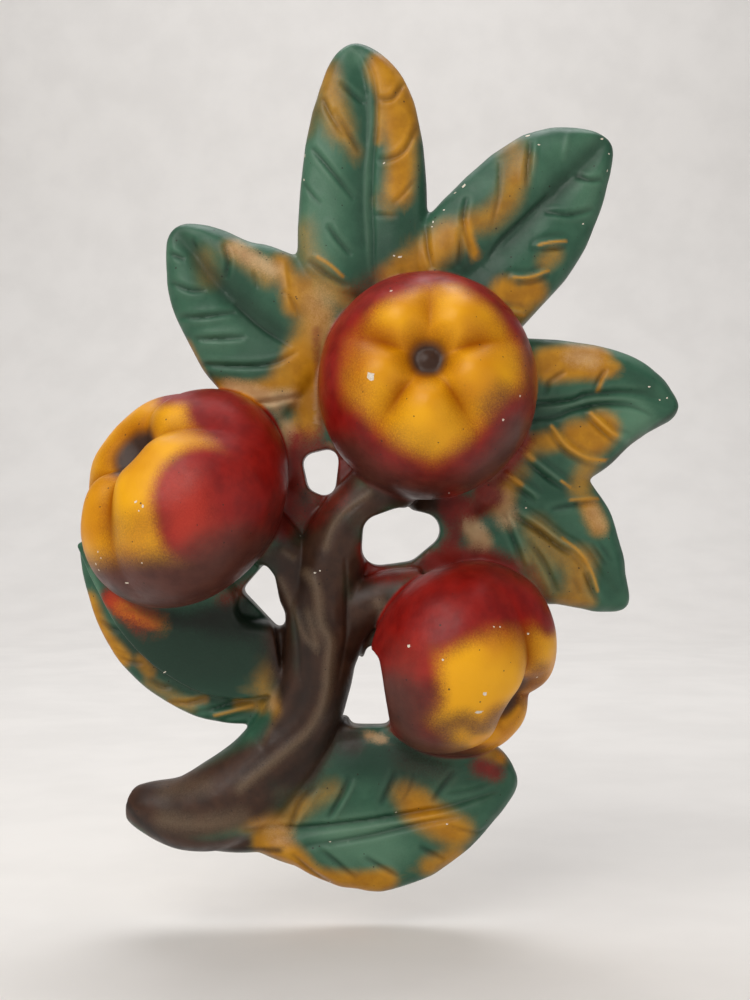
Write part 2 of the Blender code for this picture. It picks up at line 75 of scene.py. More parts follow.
# Each leaf has a middle rib and half widths to either side of it at these shares of its length.
STATIONS = (0.0, 0.15, 0.3, 0.45, 0.6, 0.75, 0.86, 0.94, 0.98, 1.0)
RIB_STEPS = 720
GRID = (110, 81)  # points along a leaf and across it
TIP_CROWDING = 1.5  # draws the rows together towards the tip
LEAF_WALL = 4.5
LEAF_ROLL = 4.0
PILLOW_REACH = 0.9  # share of the half width that a pillow spans
PILLOW_END = 0.25  # share of the length over which the pillows die out at the tip
BASE_SINK = 3.5
BASE_SHARE = 0.18  # share of the length that dips towards the branch
BASE_EDGE = 0.6
LEAVES = {
    "top": {
        "rib": ((-0.7, 68.7), (-2.1, 92.7), (-2.1, 116.8), (-3.1, 139.1), (-8.2, 157.3)),
        "left": (26.0, 25.4, 24.5, 23.6, 22.0, 19.2, 15.6, 10.6, 6.4, 0.0),
        "right": (19.0, 19.9, 20.4, 20.0, 18.9, 16.4, 12.6, 8.0, 4.6, 0.0),
        "height": (12.0, 10.0),
        "pillow": (2.2, 2.2),
    },
    "upper_right": {
        "rib": ((22.3, 68.7), (36.1, 80.7), (49.8, 93.4), (63.5, 107.5), (80.8, 124.2)),
        "left": (20.0, 24.2, 25.6, 25.8, 25.0, 22.0, 17.0, 10.6, 6.0, 0.0),
        "right": (25.0, 25.7, 24.6, 23.6, 20.8, 16.2, 11.0, 6.6, 4.0, 0.0),
        "height": (12.5, 9.5),
        "pillow": (3.0, 2.4),
    },
    "upper_left": {
        "rib": (
            (-17.2, 44.0),
            (-29.5, 53.6),
            (-40.5, 61.5),
            (-54.3, 74.2),
            (-62.5, 85.2),
            (-69.8, 93.6),
        ),
        "left": (27.3, 28.4, 27.6, 24.8, 20.5, 15.6, 11.5, 7.2, 4.2, 0.0),
        "right": (27.0, 27.7, 27.6, 26.4, 22.9, 17.8, 12.4, 7.6, 4.6, 0.0),
        "height": (12.0, 8.5),
        "pillow": (2.4, 2.8),
    },
    "right": {
        "rib": ((36.1, 29.2), (53.6, 31.6), (68.7, 33.3), (83.5, 35.0), (94.4, 34.3), (105.0, 31.7)),
        "left": (25.0, 25.4, 24.0, 22.2, 19.4, 14.8, 10.0, 5.4, 2.8, 0.0),
        "right": (29.5, 30.9, 30.6, 28.0, 23.2, 17.0, 11.8, 7.3, 4.6, 0.0),
        "height": (12.0, 9.0),
        "pillow": (2.4, 3.0),
    },
    "lower_right": {
        "rib": ((32.6, 0.0), (50.8, -4.8), (63.5, -13.4), (73.5, -22.7), (80.7, -30.9), (87.0, -36.9)),
        "left": (24.0, 23.4, 22.9, 22.3, 18.8, 12.9, 8.6, 5.2, 3.0, 0.0),
        "right": (24.3, 28.6, 29.6, 28.2, 23.7, 17.0, 11.0, 6.0, 3.4, 0.0),
        "height": (11.0, 9.0),
        "pillow": (2.2, 2.2),
    },
    "bottom": {
        "rib": ((-42.9, -114.0), (-25.8, -112.6), (-8.6, -110.6), (8.6, -108.2), (49.0, -94.8)),
        "left": (22.0, 25.9, 28.9, 30.1, 29.4, 25.6, 20.2, 13.6, 8.4, 0.0),
        "right": (6.4, 13.3, 22.4, 25.3, 23.6, 18.7, 13.0, 8.0, 4.8, 0.0),
        "height": (11.5, 9.5),
        "pillow": (2.6, 2.6),
    },
}
FOLD_RIB = (
    (-30.9, -65.2),
    (-46.4, -67.7),
    (-59.8, -65.2),
    (-75.6, -56.0),
    (-86.9, -44.0),
    (-95.1, -29.2),
    (-101.7, -14.8),
)
FOLD_RIM = (8.6, 9.6, 9.7, 9.4, 8.4, 6.4, 4.6, 2.6, 1.4, 0.0)
FOLD_INNER = (24.0, 30.0, 36.0, 40.0, 40.0, 36.0, 27.0, 17.0, 9.0, 0.0)
NO_WIDTH = (0.01,) * len(STATIONS)
RIM_HEIGHT = 8.0
RIM_ROLL = 3.0
DOME_HEIGHT = 14.5
DOME_WALL = 7.0
DOME_ROLL = 6.0


def through(points, count):
    """A smooth (Catmull-Rom) curve through the points, as rows evenly spaced along its length."""
    rows = np.array(points, float)
    rows = np.vstack([2 * rows[0] - rows[1], rows, 2 * rows[-1] - rows[-2]])
    out = []
    for a, b, c, e in zip(rows, rows[1:], rows[2:], rows[3:]):
        for t in np.linspace(0, 1, SPAN_STEPS, endpoint=False):
            bend = (2 * a - 5 * b + 4 * c - e) * t * t + (3 * b - a - 3 * c + e) * t**3
            out.append(0.5 * (2 * b + (c - a) * t + bend))
    out = np.array(out + [rows[-2]])
    steps = np.linalg.norm(np.diff(out[:, :2], axis=0), axis=1)
    along = np.concatenate([[0], np.cumsum(steps)])
    even = np.linspace(0, along[-1], count)
    return np.stack([np.interp(even, along, column) for column in out.T], 1)


def width_at(widths, share):
    """Half width at shares of the rib, with a round end at the tip."""
    return np.sqrt(np.interp(share, STATIONS, np.square(widths)))


def rib_frame(rib, count):
    """Points of the rib and the direction to its left at each."""
    line = through(rib, count)
    run = np.gradient(line, axis=0)
    run /= np.linalg.norm(run, axis=1)[:, None]
    return line, np.stack([-run[:, 1], run[:, 0]], 1)


def mesh_of(name, points, faces):
    """A mesh with its doubles merged and its faces turned outwards."""
    mesh = bpy.data.meshes.new(name)
    mesh.from_pydata([tuple(p) for p in points], [], faces)
    work = bmesh.new()
    work.from_mesh(mesh)
    bmesh.ops.remove_doubles(work, verts=work.verts, dist=0.001)
    bmesh.ops.recalc_face_normals(work, faces=work.faces)
    work.to_mesh(mesh)
    work.free()
    return mesh


def closed_sheet(name, xz, height):
    """A closed body from a grid of plaque positions and heights, running past the back."""
    rows, columns = height.shape
    front = [(x, -d, z) for (x, z), d in zip(xz.reshape(-1, 2), height.ravel())]
    back = [(x, BACK_SPARE, z) for x, z in xz.reshape(-1, 2)]
    half = rows * columns
    faces = []
    for i in range(rows - 1):
        for j in range(columns - 1):
            a = i * columns + j
            quad = (a, a + 1, a + columns + 1, a + columns)
            faces.append(quad)
            faces.append(tuple(half + k for k in reversed(quad)))
    rim = list(range(columns))
    rim += [i * columns + columns - 1 for i in range(1, rows)]
    rim += [(rows - 1) * columns + j for j in range(columns - 2, -1, -1)]
    rim += [i * columns for i in range(rows - 2, 0, -1)]
    for a, b in zip(rim, rim[1:] + rim[:1]):
        faces.append((b, a, half + a, half + b))
    return mesh_of(name, front + back, faces)


def tube_faces(rings, spokes):
    """Faces between each ring of points and the next."""
    faces = []
    for i in range(rings):
        for k in range(spokes):
            a = i * spokes + k
            b = i * spokes + (k + 1) % spokes
            faces.append((a, b, b + spokes, a + spokes))
    return faces


def rolled(top, wall, reach, roll):
    """Height of a surface whose edge rolls over a quarter round within the roll width."""
    share = np.clip(reach / roll, 0, 1)
    return wall + (top - wall) * np.sqrt(1 - (1 - share) ** 2)


def sheet_grid(rib, left_widths, right_widths):
    """Shares along the rib, shares across it, half widths and plaque positions of a leaf's grid."""
    rows, columns = GRID
    share = 1 - (1 - np.linspace(0, 1, rows)) ** TIP_CROWDING
    line, left = rib_frame(rib, RIB_STEPS + 1)
    index = np.round(share * RIB_STEPS).astype(int)
    across = np.sin(np.linspace(-1, 1, columns) * math.pi / 2)
    half = np.where(
        across[None, :] > 0,
        width_at(left_widths, share)[:, None],
        width_at(right_widths, share)[:, None],
    )
    xz = line[index][:, None, :] + left[index][:, None, :] * (across[None, :] * half)[..., None]
    length = np.linalg.norm(np.diff(line, axis=0), axis=1).sum()
    return share, across, half, xz, length


def leaf_sheet(name, leaf):
    """A leaf: two pillows beside the rib, a rolled edge, and a dip where it leaves the branch."""
    share, across, half, xz, length = sheet_grid(leaf["rib"], leaf["left"], leaf["right"])
    slope = np.gradient(half, axis=0) / np.gradient(share * length)[:, None]
    reach = (1 - np.abs(across))[None, :] * half / np.sqrt(1 + slope**2)
    reach = np.minimum(reach, share[:, None] * length + BASE_EDGE)
    first, last = leaf["height"]
    swell = np.where(across > 0, leaf["pillow"][0], leaf["pillow"][1])
    bulge = np.sin(np.clip(np.abs(across) / PILLOW_REACH, 0, 1) * math.pi) * swell
    fade = np.sin(np.clip((1 - share) / PILLOW_END, 0, 1) * math.pi / 2)
    top = first + (last - first) * share[:, None] + bulge[None, :] * fade[:, None]
    top -= BASE_SINK * (1 - np.clip(share / BASE_SHARE, 0, 1)[:, None]) ** 2
    return closed_sheet(name, xz, rolled(top, LEAF_WALL, reach, LEAF_ROLL))


def fold_sheet(name, outer, inner, top, wall, roll):
    """One layer of the folded leaf at the lower left: a low veined rim, or the dome on it."""
    _, across, half, xz, _ = sheet_grid(FOLD_RIB, outer, inner)
    reach = (1 - np.abs(across))[None, :] * half
    return closed_sheet(name, xz, rolled(np.full(half.shape, top), wall, reach, roll))


# Each apple: middle (x, z, d), radii across, radii along its axis to the blossom end and to the
# stem end, the turn of the blossom end from the viewer and its bearing, the angle from the blossom
# end where the creases are deepest with how fast they fade, each crease's bearing, share of the
# full depth and half width in degrees, and the radius of the dark stain round the blossom.
APPLES = {
    "top": {
        "at": (17.6, 38.6, 19.0),
        "across": (36.8, 38.6),
        "along": (34.0, 37.0),
        "turn": (14.5, 97.0),
        "lobe": (27.0, 4.0),
        "creases": ((16, 1.0, 36), (88, 0.8, 36), (160, 1.0, 36), (232, 1.0, 36), (304, 1.0, 36)),
        "stained": 7.4,
    },
    "left": {
        "at": (-63.8, 0.6, 15.5),
        "across": (38.4, 41.4),
        "along": (30.5, 29.0),
        "turn": (61.0, 137.0),
        "lobe": (32.0, 2.0),
        "creases": ((57, 0.6, 30), (182, 1.0, 36), (244, 1.0, 34), (352, 0.8, 32)),
        "stained": 11.0,
    },
    "right": {
        "at": (29.6, -54.2, 18.0),
        "across": (33.8, 36.6),
        "along": (27.2, 30.2),
        "turn": (66.0, -35.0),
        "lobe": (34.0, 1.6),
        "creases": ((66, 1.0, 45), (214, 1.0, 42), (314, 1.0, 42)),
        "stained": 9.5,
    },
}
LOBE_SWELL = 0.15
LOBE_SHARE = 0.36
HOLLOW_DEPTH = 11.0
HOLLOW_RADIUS = 10.0
HOLLOW_ANGLE = 1.2  # from the blossom end, in radians, past which there is no hollow
APPLE_GRID = (150, 240)  # rings and spokes
KNOB_RADIUS = 4.8
KNOB_HEIGHT = 3.0


def axis_of(apple):
    """Which way the blossom end points."""
    turn, bearing = (math.radians(angle) for angle in apple["turn"])
    return Vector(
        (math.sin(turn) * math.cos(bearing), -math.cos(turn), math.sin(turn) * math.sin(bearing))
    )


def creased(apple, around):
    """How far the creases cut in at each bearing, as a share of their full depth."""
    cut = np.zeros(around.shape)
    for bearing, share, half in apple["creases"]:
        off = np.abs((np.degrees(around) - bearing + 180) % 360 - 180)
        cut += share * (1 - np.sin(np.clip(off / half, 0, 1) * math.pi / 2))
    return cut


def fullness_at(apple, polar):
    """How much of the lobes shows at each angle from the blossom end."""
    deepest, fade = apple["lobe"]
    turn = np.degrees(polar) / deepest
    return (turn * np.exp(1 - turn)) ** fade


def apple_mesh(name, apple):
    """A lobed apple: round creases run out of a pit at the blossom end and fade at the waist."""
    rings, spokes = APPLE_GRID
    axis = axis_of(apple)
    east = (Vector((1, 0, 0)) - axis * axis.x).normalized()
    north = axis.cross(east)
    sideways, upwards = apple["across"]
    x, z, d = apple["at"]
    polar = np.linspace(0, math.pi, rings + 1)[:, None]
    around = np.linspace(0, 2 * math.pi, spokes, endpoint=False)[None, :]
    along = np.where(polar < math.pi / 2, *apple["along"])
    grow = 1 + LOBE_SWELL * (LOBE_SHARE - creased(apple, around)) * fullness_at(apple, polar)
    u = sideways * np.sin(polar) * np.cos(around) * grow
    v = upwards * np.sin(polar) * np.sin(around) * grow
    pit = HOLLOW_DEPTH * np.exp(-(u * u + v * v) / HOLLOW_RADIUS**2) * (polar < HOLLOW_ANGLE)
    reach = along * np.cos(polar) * grow - pit
    points = np.array((x, -d, z)) + reach[..., None] * np.array(axis)
    points = points + u[..., None] * np.array(east) + v[..., None] * np.array(north)
    return mesh_of(name, points.reshape(-1, 3), tube_faces(rings, spokes))


def knob_mesh(name, apple):
    """The dried blossom, a small bead at the bottom of the hollow."""
    axis = axis_of(apple)
    x, z, d = apple["at"]
    reach = apple["along"][0] - HOLLOW_DEPTH + KNOB_HEIGHT - KNOB_RADIUS
    work = bmesh.new()
    bmesh.ops.create_icosphere(work, subdivisions=4, radius=KNOB_RADIUS)
    bmesh.ops.translate(work, verts=work.verts, vec=Vector((x, -d, z)) + axis * reach)
    mesh = bpy.data.meshes.new(name)
    work.to_mesh(mesh)
    work.free()
    return mesh


# The branch and its forks, as points (x, z, d, radius), and the webs of plaster that tie fruit,
# branch and leaves together: (x, z, half width, half height, turn, height).
LIMBS = {
    "trunk": (
        (-83.5, -105.0, 3.0, 6.4),
        (-77.5, -106.0, 5.0, 9.2),
        (-65.0, -107.6, 6.0, 13.0),
        (-52.0, -104.0, 6.5, 15.4),
        (-38.5, -94.0, 7.0, 15.0),
        (-27.0, -78.0, 8.0, 13.4),
        (-20.5, -62.0, 9.0, 12.4),
        (-18.5, -48.0, 9.5, 12.2),
        (-18.5, -34.0, 9.5, 12.0),
        (-15.0, -20.0, 9.5, 11.6),
        (-9.0, -8.0, 10.0, 11.0),
        (2.0, 4.0, 12.0, 11.0),
        (12.0, 14.0, 14.0, 12.0),
    ),
    "left_fork": (
        (-18.5, -44.0, 9.0, 9.0),
        (-26.0, -29.0, 9.5, 8.6),
        (-33.0, -17.0, 10.0, 9.0),
        (-42.0, -8.0, 11.0, 10.0),
    ),
    "right_fork": (
        (-15.0, -54.0, 9.0, 8.6),
        (-8.0, -39.5, 9.5, 8.4),
        (3.4, -33.5, 10.0, 8.8),
        (16.0, -33.0, 12.0, 10.0),
    ),
    "leaf_stalk": (
        (-38.2, -71.7, 6.0, 4.0),
        (-33.5, -70.5, 8.0, 4.5),
        (-31.4, -75.0, 13.0, 5.0),
        (-33.8, -82.8, 16.5, 5.0),
        (-38.2, -89.6, 15.5, 4.0),
    ),
}
WEBS = (
    (-32.0, 22.0, 26.0, 17.0, -35.0, 9.0),
    (-20.0, 16.0, 11.0, 24.0, -10.0, 9.0),
    (-17.0, 38.0, 14.0, 16.0, 0.0, 10.0),
    (-27.0, -8.0, 12.0, 16.0, 20.0, 8.5),
    (33.0, -8.0, 22.0, 20.0, 25.0, 9.5),
    (0.0, 7.0, 20.0, 11.0, 0.0, 9.5),
    (12.0, -24.0, 24.0, 9.0, -6.0, 8.5),
    (0.0, -46.0, 10.0, 10.0, 0.0, 9.0),
    (-46.0, -30.0, 14.0, 16.0, 0.0, 9.0),
    (-30.0, -54.0, 9.0, 13.0, 0.0, 9.0),
    (-12.0, -84.0, 26.0, 9.0, 0.0, 9.5),
    (16.0, -84.0, 24.0, 14.0, 10.0, 9.5),
    (-46.0, -112.6, 25.0, 9.6, 0.0, 12.0),
)
LIMB_RINGS = 90
WEB_GRID = (20, 64)  # rings and spokes
# Open gaps between branch and fruit: corners of each and the radius that rounds them.
GAPS = {
    "small": (((-19.6, 6.5), (-20.9, 12.5), (-16.5, 13.5), (-17.5, 5.6)), 4.0),
    "large": (((1.4, -16.6), (1.8, -11.0), (8.5, -8.6), (16.4, -10.4), (10.5, -15.4)), 6.0),
    "left": (((-37.6, -24.0), (-35.7, -26.5), (-33.2, -42.2), (-43.7, -31.0)), 1.8),
    "right": (((-0.9, -52.5), (-6.6, -75.6), (2.9, -75.6)), 2.4),
}


def limb_mesh(name, points):
    """A round limb through points (x, z, d, radius), closed at both ends."""
    spokes = 4 * ROUND_STEPS
    rows = through(points, LIMB_RINGS)
    centre = np.stack([rows[:, 0], -rows[:, 2], rows[:, 1]], 1)
    run = np.gradient(centre, axis=0)
    ring = []
    for spot, way, radius in zip(centre, run, rows[:, 3].tolist()):
        way = Vector(way).normalized()
        side = way.cross(Vector((0, -1, 0))).normalized()
        up = side.cross(way)
        for k in range(spokes):
            around = 2 * math.pi * k / spokes
            ring.append(Vector(spot) + (side * math.cos(around) + up * math.sin(around)) * radius)
    faces = [tuple(range(spokes - 1, -1, -1)), tuple(len(ring) - spokes + k for k in range(spokes))]
    return mesh_of(name, ring, faces + tube_faces(len(rows) - 1, spokes))


def web_mesh(name, x, z, wide, high, turn, height):
    """A low cushion with steep edges."""
    rings, spokes = WEB_GRID
    turn = math.radians(turn)
    share = np.sin(np.linspace(0, 1, rings) * math.pi / 2)
    around = np.linspace(0, 2 * math.pi, spokes + 1)
    u = share[:, None] * np.cos(around) * wide
    v = share[:, None] * np.sin(around) * high
    east = x + u * math.cos(turn) - v * math.sin(turn)
    north = z + u * math.sin(turn) + v * math.cos(turn)
    tops = height * (1 - share**5) ** 0.5
    xz = np.stack([east, north], -1)
    return closed_sheet(name, xz, np.repeat(tops[:, None], spokes + 1, 1))


def bar(name, outline, front, back):
    """A straight bar with the outline (x, z), between two places along y."""
    count = len(outline)
    points = [(x, front, z) for x, z in outline] + [(x, back, z) for x, z in outline]
    faces = [tuple(range(count)), tuple(range(2 * count - 1, count - 1, -1))]
    faces += [(k, k + count, (k + 1) % count + count, (k + 1) % count) for k in range(count)]
    return mesh_of(name, points, faces)


def outward(start, end):
    """Bearing of the outer side of an edge of a ring that runs anticlockwise."""
    return math.atan2(start[0] - end[0], end[1] - start[1])


def gap_bar(name, corners, radius):
    """A bar with rounded corners that runs through the plaque."""
    outline = []
    middle = np.mean(corners, axis=0)
    ring = sorted(corners, key=lambda c: math.atan2(c[1] - middle[1], c[0] - middle[0]))
    for before, corner, after in zip(ring[-1:] + ring[:-1], ring, ring[1:] + ring[:1]):
        x, z = corner
        start = outward(before, corner)
        sweep = (outward(corner, after) - start) % (2 * math.pi)
        for k in range(ROUND_STEPS + 1):
            angle = start + sweep * k / ROUND_STEPS
            outline.append((x + radius * math.cos(angle), z + radius * math.sin(angle)))
    return bar(name, outline, CUT_FRONT, CUT_BACK)


def placed(name, mesh):
    """An object in the scene that holds the mesh."""
    made = bpy.data.objects.new(name, mesh)
    bpy.context.scene.collection.objects.link(made)
    return made


def settled(obj):
    """The object's mesh with its modifiers applied; the object goes."""
    graph = bpy.context.evaluated_depsgraph_get()
    graph.update()
    mesh = bpy.data.meshes.new_from_object(obj.evaluated_get(graph))
    bpy.data.objects.remove(obj, do_unlink=True)
    return mesh


def cut_away(obj, cutters):
    """The object's mesh with each cutter mesh taken out of it."""
    tools = [placed(cutter.name, cutter) for cutter in cutters]
    for tool in tools:
        cut = obj.modifiers.new(tool.name, "BOOLEAN")
        cut.operation = "DIFFERENCE"
        cut.solver = "EXACT"
        cut.object = tool
    mesh = settled(obj)
    for tool in tools:
        bpy.data.objects.remove(tool, do_unlink=True)
    return mesh


def fused(name, mesh):
    """An object whose mesh is remade in even cells."""
    made = placed(name, mesh)
    fuse = made.modifiers.new("fuse", "REMESH")
    fuse.mode = "VOXEL"
    fuse.voxel_size = CELL
    return made


shapes = [leaf_sheet("leaf_" + name, leaf) for name, leaf in LEAVES.items()]
shapes.append(fold_sheet("leaf_rim", FOLD_RIM, FOLD_INNER, RIM_HEIGHT, LEAF_WALL, RIM_ROLL))
shapes.append(fold_sheet("leaf_dome", NO_WIDTH, FOLD_INNER, DOME_HEIGHT, DOME_WALL, DOME_ROLL))
shapes += [apple_mesh("apple_" + name, apple) for name, apple in APPLES.items()]
shapes += [knob_mesh("knob_" + name, apple) for name, apple in APPLES.items()]
shapes += [limb_mesh(name, limb) for name, limb in LIMBS.items()]
shapes += [web_mesh("web", *web) for web in WEBS]
together = bmesh.new()
for shape in shapes:
    together.from_mesh(shape)
clay = bpy.data.meshes.new("clay")
together.to_mesh(clay)
together.free()

gap_bars = [gap_bar("gap_" + name, corners, radius) for name, (corners, radius) in GAPS.items()]
pierced = cut_away(fused("fused_clay", clay), gap_bars)
soft = fused("pierced_clay", pierced)
soften = soft.modifiers.new("soften", "SMOOTH")
soften.factor = 0.5
soften.iterations = SOFTEN
surface = settled(soft)

# Veins and bark. In the real mould these are tool lines in the clay: pressed veins with soft lips,
# raised cords of slip along the ribs, and long strokes down the bark. Each line here is a path on
# the plaque that lowers or lifts the fused surface beside it.
PRESS = {
    # kind: (height, half width, height of the lips, distance of the lips, their half width)
    "groove": (-0.85, 0.85, 0.28, 2.0, 1.0),
    "fine": (-0.5, 0.65, 0.1, 1.6, 0.8),
    "ridge": (0.5, 0.95, 0.0, 2.0, 1.0),
    "cord": (0.95, 1.05, -0.45, 2.2, 0.9),
    "valley": (-1.0, 3.2, 0.0, 5.0, 2.0),
    "bark": (0.55, 1.5, -0.2, 3.0, 1.3),
}
TOOL_LINES = (
    # top
    ("ridge", (-8, 155), (-5, 151), (-3, 147), (-2, 140), (-1.5, 127), (-2.5, 115.5), (-3, 102),
        (-2.5, 91), (-2, 81.5), (-1.5, 74.5)),
    ("fine", (-3, 150), (-0.5, 145), (0.5, 136.5), (0.5, 127.5), (-0.5, 115.5), (-1, 102),
        (-0.5, 91), (-0.5, 81.5), (0.5, 74)),
    ("groove", (-11, 141.5), (-8, 138.5), (-4, 135)),
    ("groove", (-17.5, 136.5), (-14.5, 130), (-10, 123)),
    ("groove", (-13.5, 132), (-8.5, 124), (-5, 118.5)),
    ("groove", (-21, 119.5), (-14.5, 111.5), (-7, 102)),
    ("fine", (-24.5, 108.5), (-21.5, 104), (-18.5, 100.5)),
    ("groove", (-15.5, 92.5), (-12, 87.5), (-8, 83)),
    ("groove", (-22, 81), (-15.5, 76), (-9, 72.5)),
    ("ridge", (-20.5, 83), (-16, 80), (-11, 76.5)),
    ("groove", (10, 143), (6, 137), (1, 136.5)),
    ("groove", (14.5, 128), (10, 119), (5, 116), (0.5, 116)),
    ("fine", (13.5, 109), (10, 104.5), (6, 100.5)),
    ("fine", (7, 96.5), (-0.5, 97)),
    # upper left
    ("valley", (-68.5, 92), (-62.5, 85), (-54, 74), (-47.5, 67.5), (-40.5, 61), (-34, 56.5),
        (-29.5, 53)),
    ("fine", (-47.5, 66.5), (-40.5, 60), (-34, 55.5), (-28.5, 52)),
    ("groove", (-51, 86.5), (-50, 81), (-51, 75.5)),
    ("fine", (-41, 77.5), (-40, 72)),
    ("ridge", (-31, 81), (-30, 71.5), (-29, 62.5)),
    ("fine", (-62.5, 89), (-61, 86)),
    ("groove", (-70, 84.5), (-65, 82)),
    ("groove", (-69, 74), (-63, 71.5), (-57.5, 71.5)),
    ("groove", (-66, 62.5), (-58, 62.5), (-47.5, 64)),
    ("groove", (-60.5, 55), (-52, 55), (-44, 55.5)),
    ("groove", (-60.5, 46.5), (-46, 45.5), (-34.5, 46.5), (-26.5, 50.5)),
    ("groove", (-43.5, 32.5), (-34, 33.5), (-24.5, 35.5)),
    ("fine", (-30.5, 70.5), (-28, 68), (-25.5, 62)),
    # upper right
    ("valley", (79, 123.5), (70, 112.5), (63, 106.5), (56.5, 99.5), (49.5, 93), (42.5, 86),
        (37, 79)),
    ("fine", (59, 104), (49.5, 95), (42, 87.5), (38, 81)),
    ("ridge", (66, 125), (65, 119.5), (64, 115)),
    ("groove", (53, 121.5), (52, 114), (51.5, 106)),
    ("ridge", (54.5, 121.5), (54, 109)),
    ("fine", (42.5, 115), (42, 103.5), (39, 91.5)),
    ("groove", (31, 102), (30, 95), (31.5, 88), (33.5, 83.5)),
    ("groove", (17.5, 92), (18, 85), (19.5, 78.5)),
    ("groove", (29, 91), (29, 84.5), (28.5, 79)),
    ("groove", (69.5, 110.5), (73, 109), (78, 109.5)),
    ("groove", (59, 98), (66.5, 97), (75, 99.5)),
    ("cord", (55.5, 86.5), (60, 87.5), (65.5, 88)),
    ("fine", (53.5, 85), (60, 85), (65, 86)),
    ("cord", (47, 75.5), (52.5, 75.5), (59, 78)),
    ("fine", (49, 73.5), (54.5, 74.5), (59.5, 76.5)),
    ("cord", (43, 63.5), (48, 64), (51, 63)),
    # right
    ("groove", (51, 32.5), (66, 34), (72, 36), (83, 37), (93, 36.5)),
    ("groove", (51.5, 27.5), (61.5, 28.5), (67, 30.5), (76, 32.5), (85.5, 32.5), (90.5, 31),
        (95, 28.5)),
    ("ridge", (56, 31.5), (66.5, 32.5), (77, 34.5), (90.5, 34), (99, 31.5)),
    ("groove", (58, 36.5), (59, 40), (61.5, 42), (65, 44)),
    ("groove", (75, 38.5), (76.5, 41.5), (78.5, 44.5)),
    ("ridge", (76.5, 38.5), (78.5, 42), (80.5, 44.5)),
    ("cord", (73.5, 29.5), (78, 25), (82, 22), (87, 20.5)),
    ("fine", (72.5, 28), (76.5, 24), (81, 20)),
    ("cord", (60, 25), (64, 19.5), (68.5, 16), (73, 14), (78.5, 13.5)),
    ("fine", (59, 23.5), (63, 18), (67.5, 14.5), (72.5, 12)),
    ("cord", (49, 18), (53, 14.5), (60, 9), (67, 4.5)),
    ("fine", (51.5, 13), (58.5, 7.5), (65, 3.5)),
    ("cord", (45, 9), (50.5, 5), (56, 0.5)),
    ("fine", (48.5, 4), (54, 0.5)),
    # lower right
    ("cord", (49, -3.5), (56.5, -8.5), (63, -13.5), (68, -16.5), (73, -22), (76, -30.5)),
    ("groove", (47.5, -5.5), (55.5, -10.5), (62, -15.5), (66.5, -19)),
    ("groove", (60.5, -3), (69, -1.5), (76.5, -0.5)),
    ("ridge", (67, 0.5), (76.5, 1)),
    ("fine", (74, -15.5), (78.5, -22.5)),
    ("fine", (76, -14), (81, -21)),
    ("groove", (43.5, -4), (46.5, -12), (50.5, -23)),
    ("ridge", (44.5, -3.5), (48.5, -12), (52.5, -22.5)),
    ("groove", (52.5, -14), (58, -22), (62, -31.5)),
    ("groove", (72, -25.5), (74, -30.5), (76, -35)),
    ("fine", (68, -27.5), (70, -32.5)),
    # folded rim
    ("groove", (-94, -41.5), (-90.5, -44), (-87, -45)),
    ("groove", (-88, -53.5), (-84, -55.5), (-79.5, -56)),
    ("fine", (-89.5, -51), (-85, -53), (-81.5, -54)),
    ("groove", (-76.5, -62), (-73, -64), (-69.5, -64)),
    ("groove", (-70, -69.5), (-63.5, -69.5), (-56.5, -67.5)),
    ("fine", (-61.5, -73), (-55, -71.5), (-49, -69.5)),
    ("cord", (-55, -74), (-48, -72), (-41.5, -70.5)),
    # bottom
    ("groove", (-43.5, -110.5), (-25.5, -111.5), (-8.5, -110), (8.5, -107.5), (25.5, -104.5),
        (42.5, -99)),
    ("groove", (-23, -117.5), (-2.5, -114.5), (17, -110), (29.5, -107.5)),
    ("ridge", (-25.5, -115), (-8.5, -112.5), (8.5, -110), (25.5, -106.5)),
    ("groove", (-29, -111.5), (-25.5, -103), (-20, -97)),
    ("ridge", (-27, -111), (-23, -104), (-18, -98)),
    ("groove", (-15.5, -108), (-11, -99.5), (-8.5, -94)),
    ("ridge", (-13.5, -108), (-9, -100), (-6.5, -94.5)),
    ("groove", (2.5, -103), (5, -97.5), (7.5, -92)),
    ("fine", (10, -102), (12.5, -97), (13.5, -92.5)),
    ("groove", (20, -102.5), (23.5, -97), (27, -92)),
    ("fine", (25.5, -100.5), (34, -99), (42.5, -95.5)),
    ("groove", (-18, -119), (-12, -124), (-6, -129.5)),
    ("groove", (-2.5, -122), (2.5, -125), (8, -128.5)),
    ("groove", (16, -118.5), (24, -123)),
    ("groove", (-27.5, -121), (-20.5, -127.5), (-14.5, -132)),
    ("fine", (26, -111), (34, -113.5), (38, -112.5)),
    ("fine", (-22, -102), (-25.5, -107)),
    # branch
    ("ridge", (-1.5, 2.5), (-9.5, -3), (-14.5, -9.5), (-16.5, -16)),
    ("bark", (-23, -24.5), (-19.5, -29.5), (-18, -41), (-15, -47), (-15.5, -55), (-17, -67.5),
        (-22.5, -77.5), (-32.5, -86), (-45, -96)),
    ("ridge", (-22.5, -38), (-21, -43.5), (-19.5, -48.5)),
    ("ridge", (-31, -17), (-27.5, -19.5)),
    ("ridge", (-32, -26.5), (-27.5, -36.5), (-24, -45), (-20.5, -48.5)),
    ("bark", (-1, 0), (-7.5, -5.5), (-11.5, -11.5), (-13.5, -18.5)),
    ("valley", (-25.5, -20), (-24.5, -33.5), (-22.5, -50), (-23.5, -63.5), (-30, -75.5),
        (-39, -83)),
    ("fine", (-10, -20), (-9.5, -33.5), (-10, -47), (-12.5, -60.5)),
    ("fine", (-28.5, -33.5), (-26, -47), (-25, -60.5)),
    ("ridge", (1, -34.5), (3.5, -38)),
    ("valley", (-10, -64.5), (-13.5, -76.5), (-23.5, -89), (-40, -98.5)),
)
LINE_START = 0.06  # share of its full sweep at which a tool line sets in
LINE_FADE = 0.4
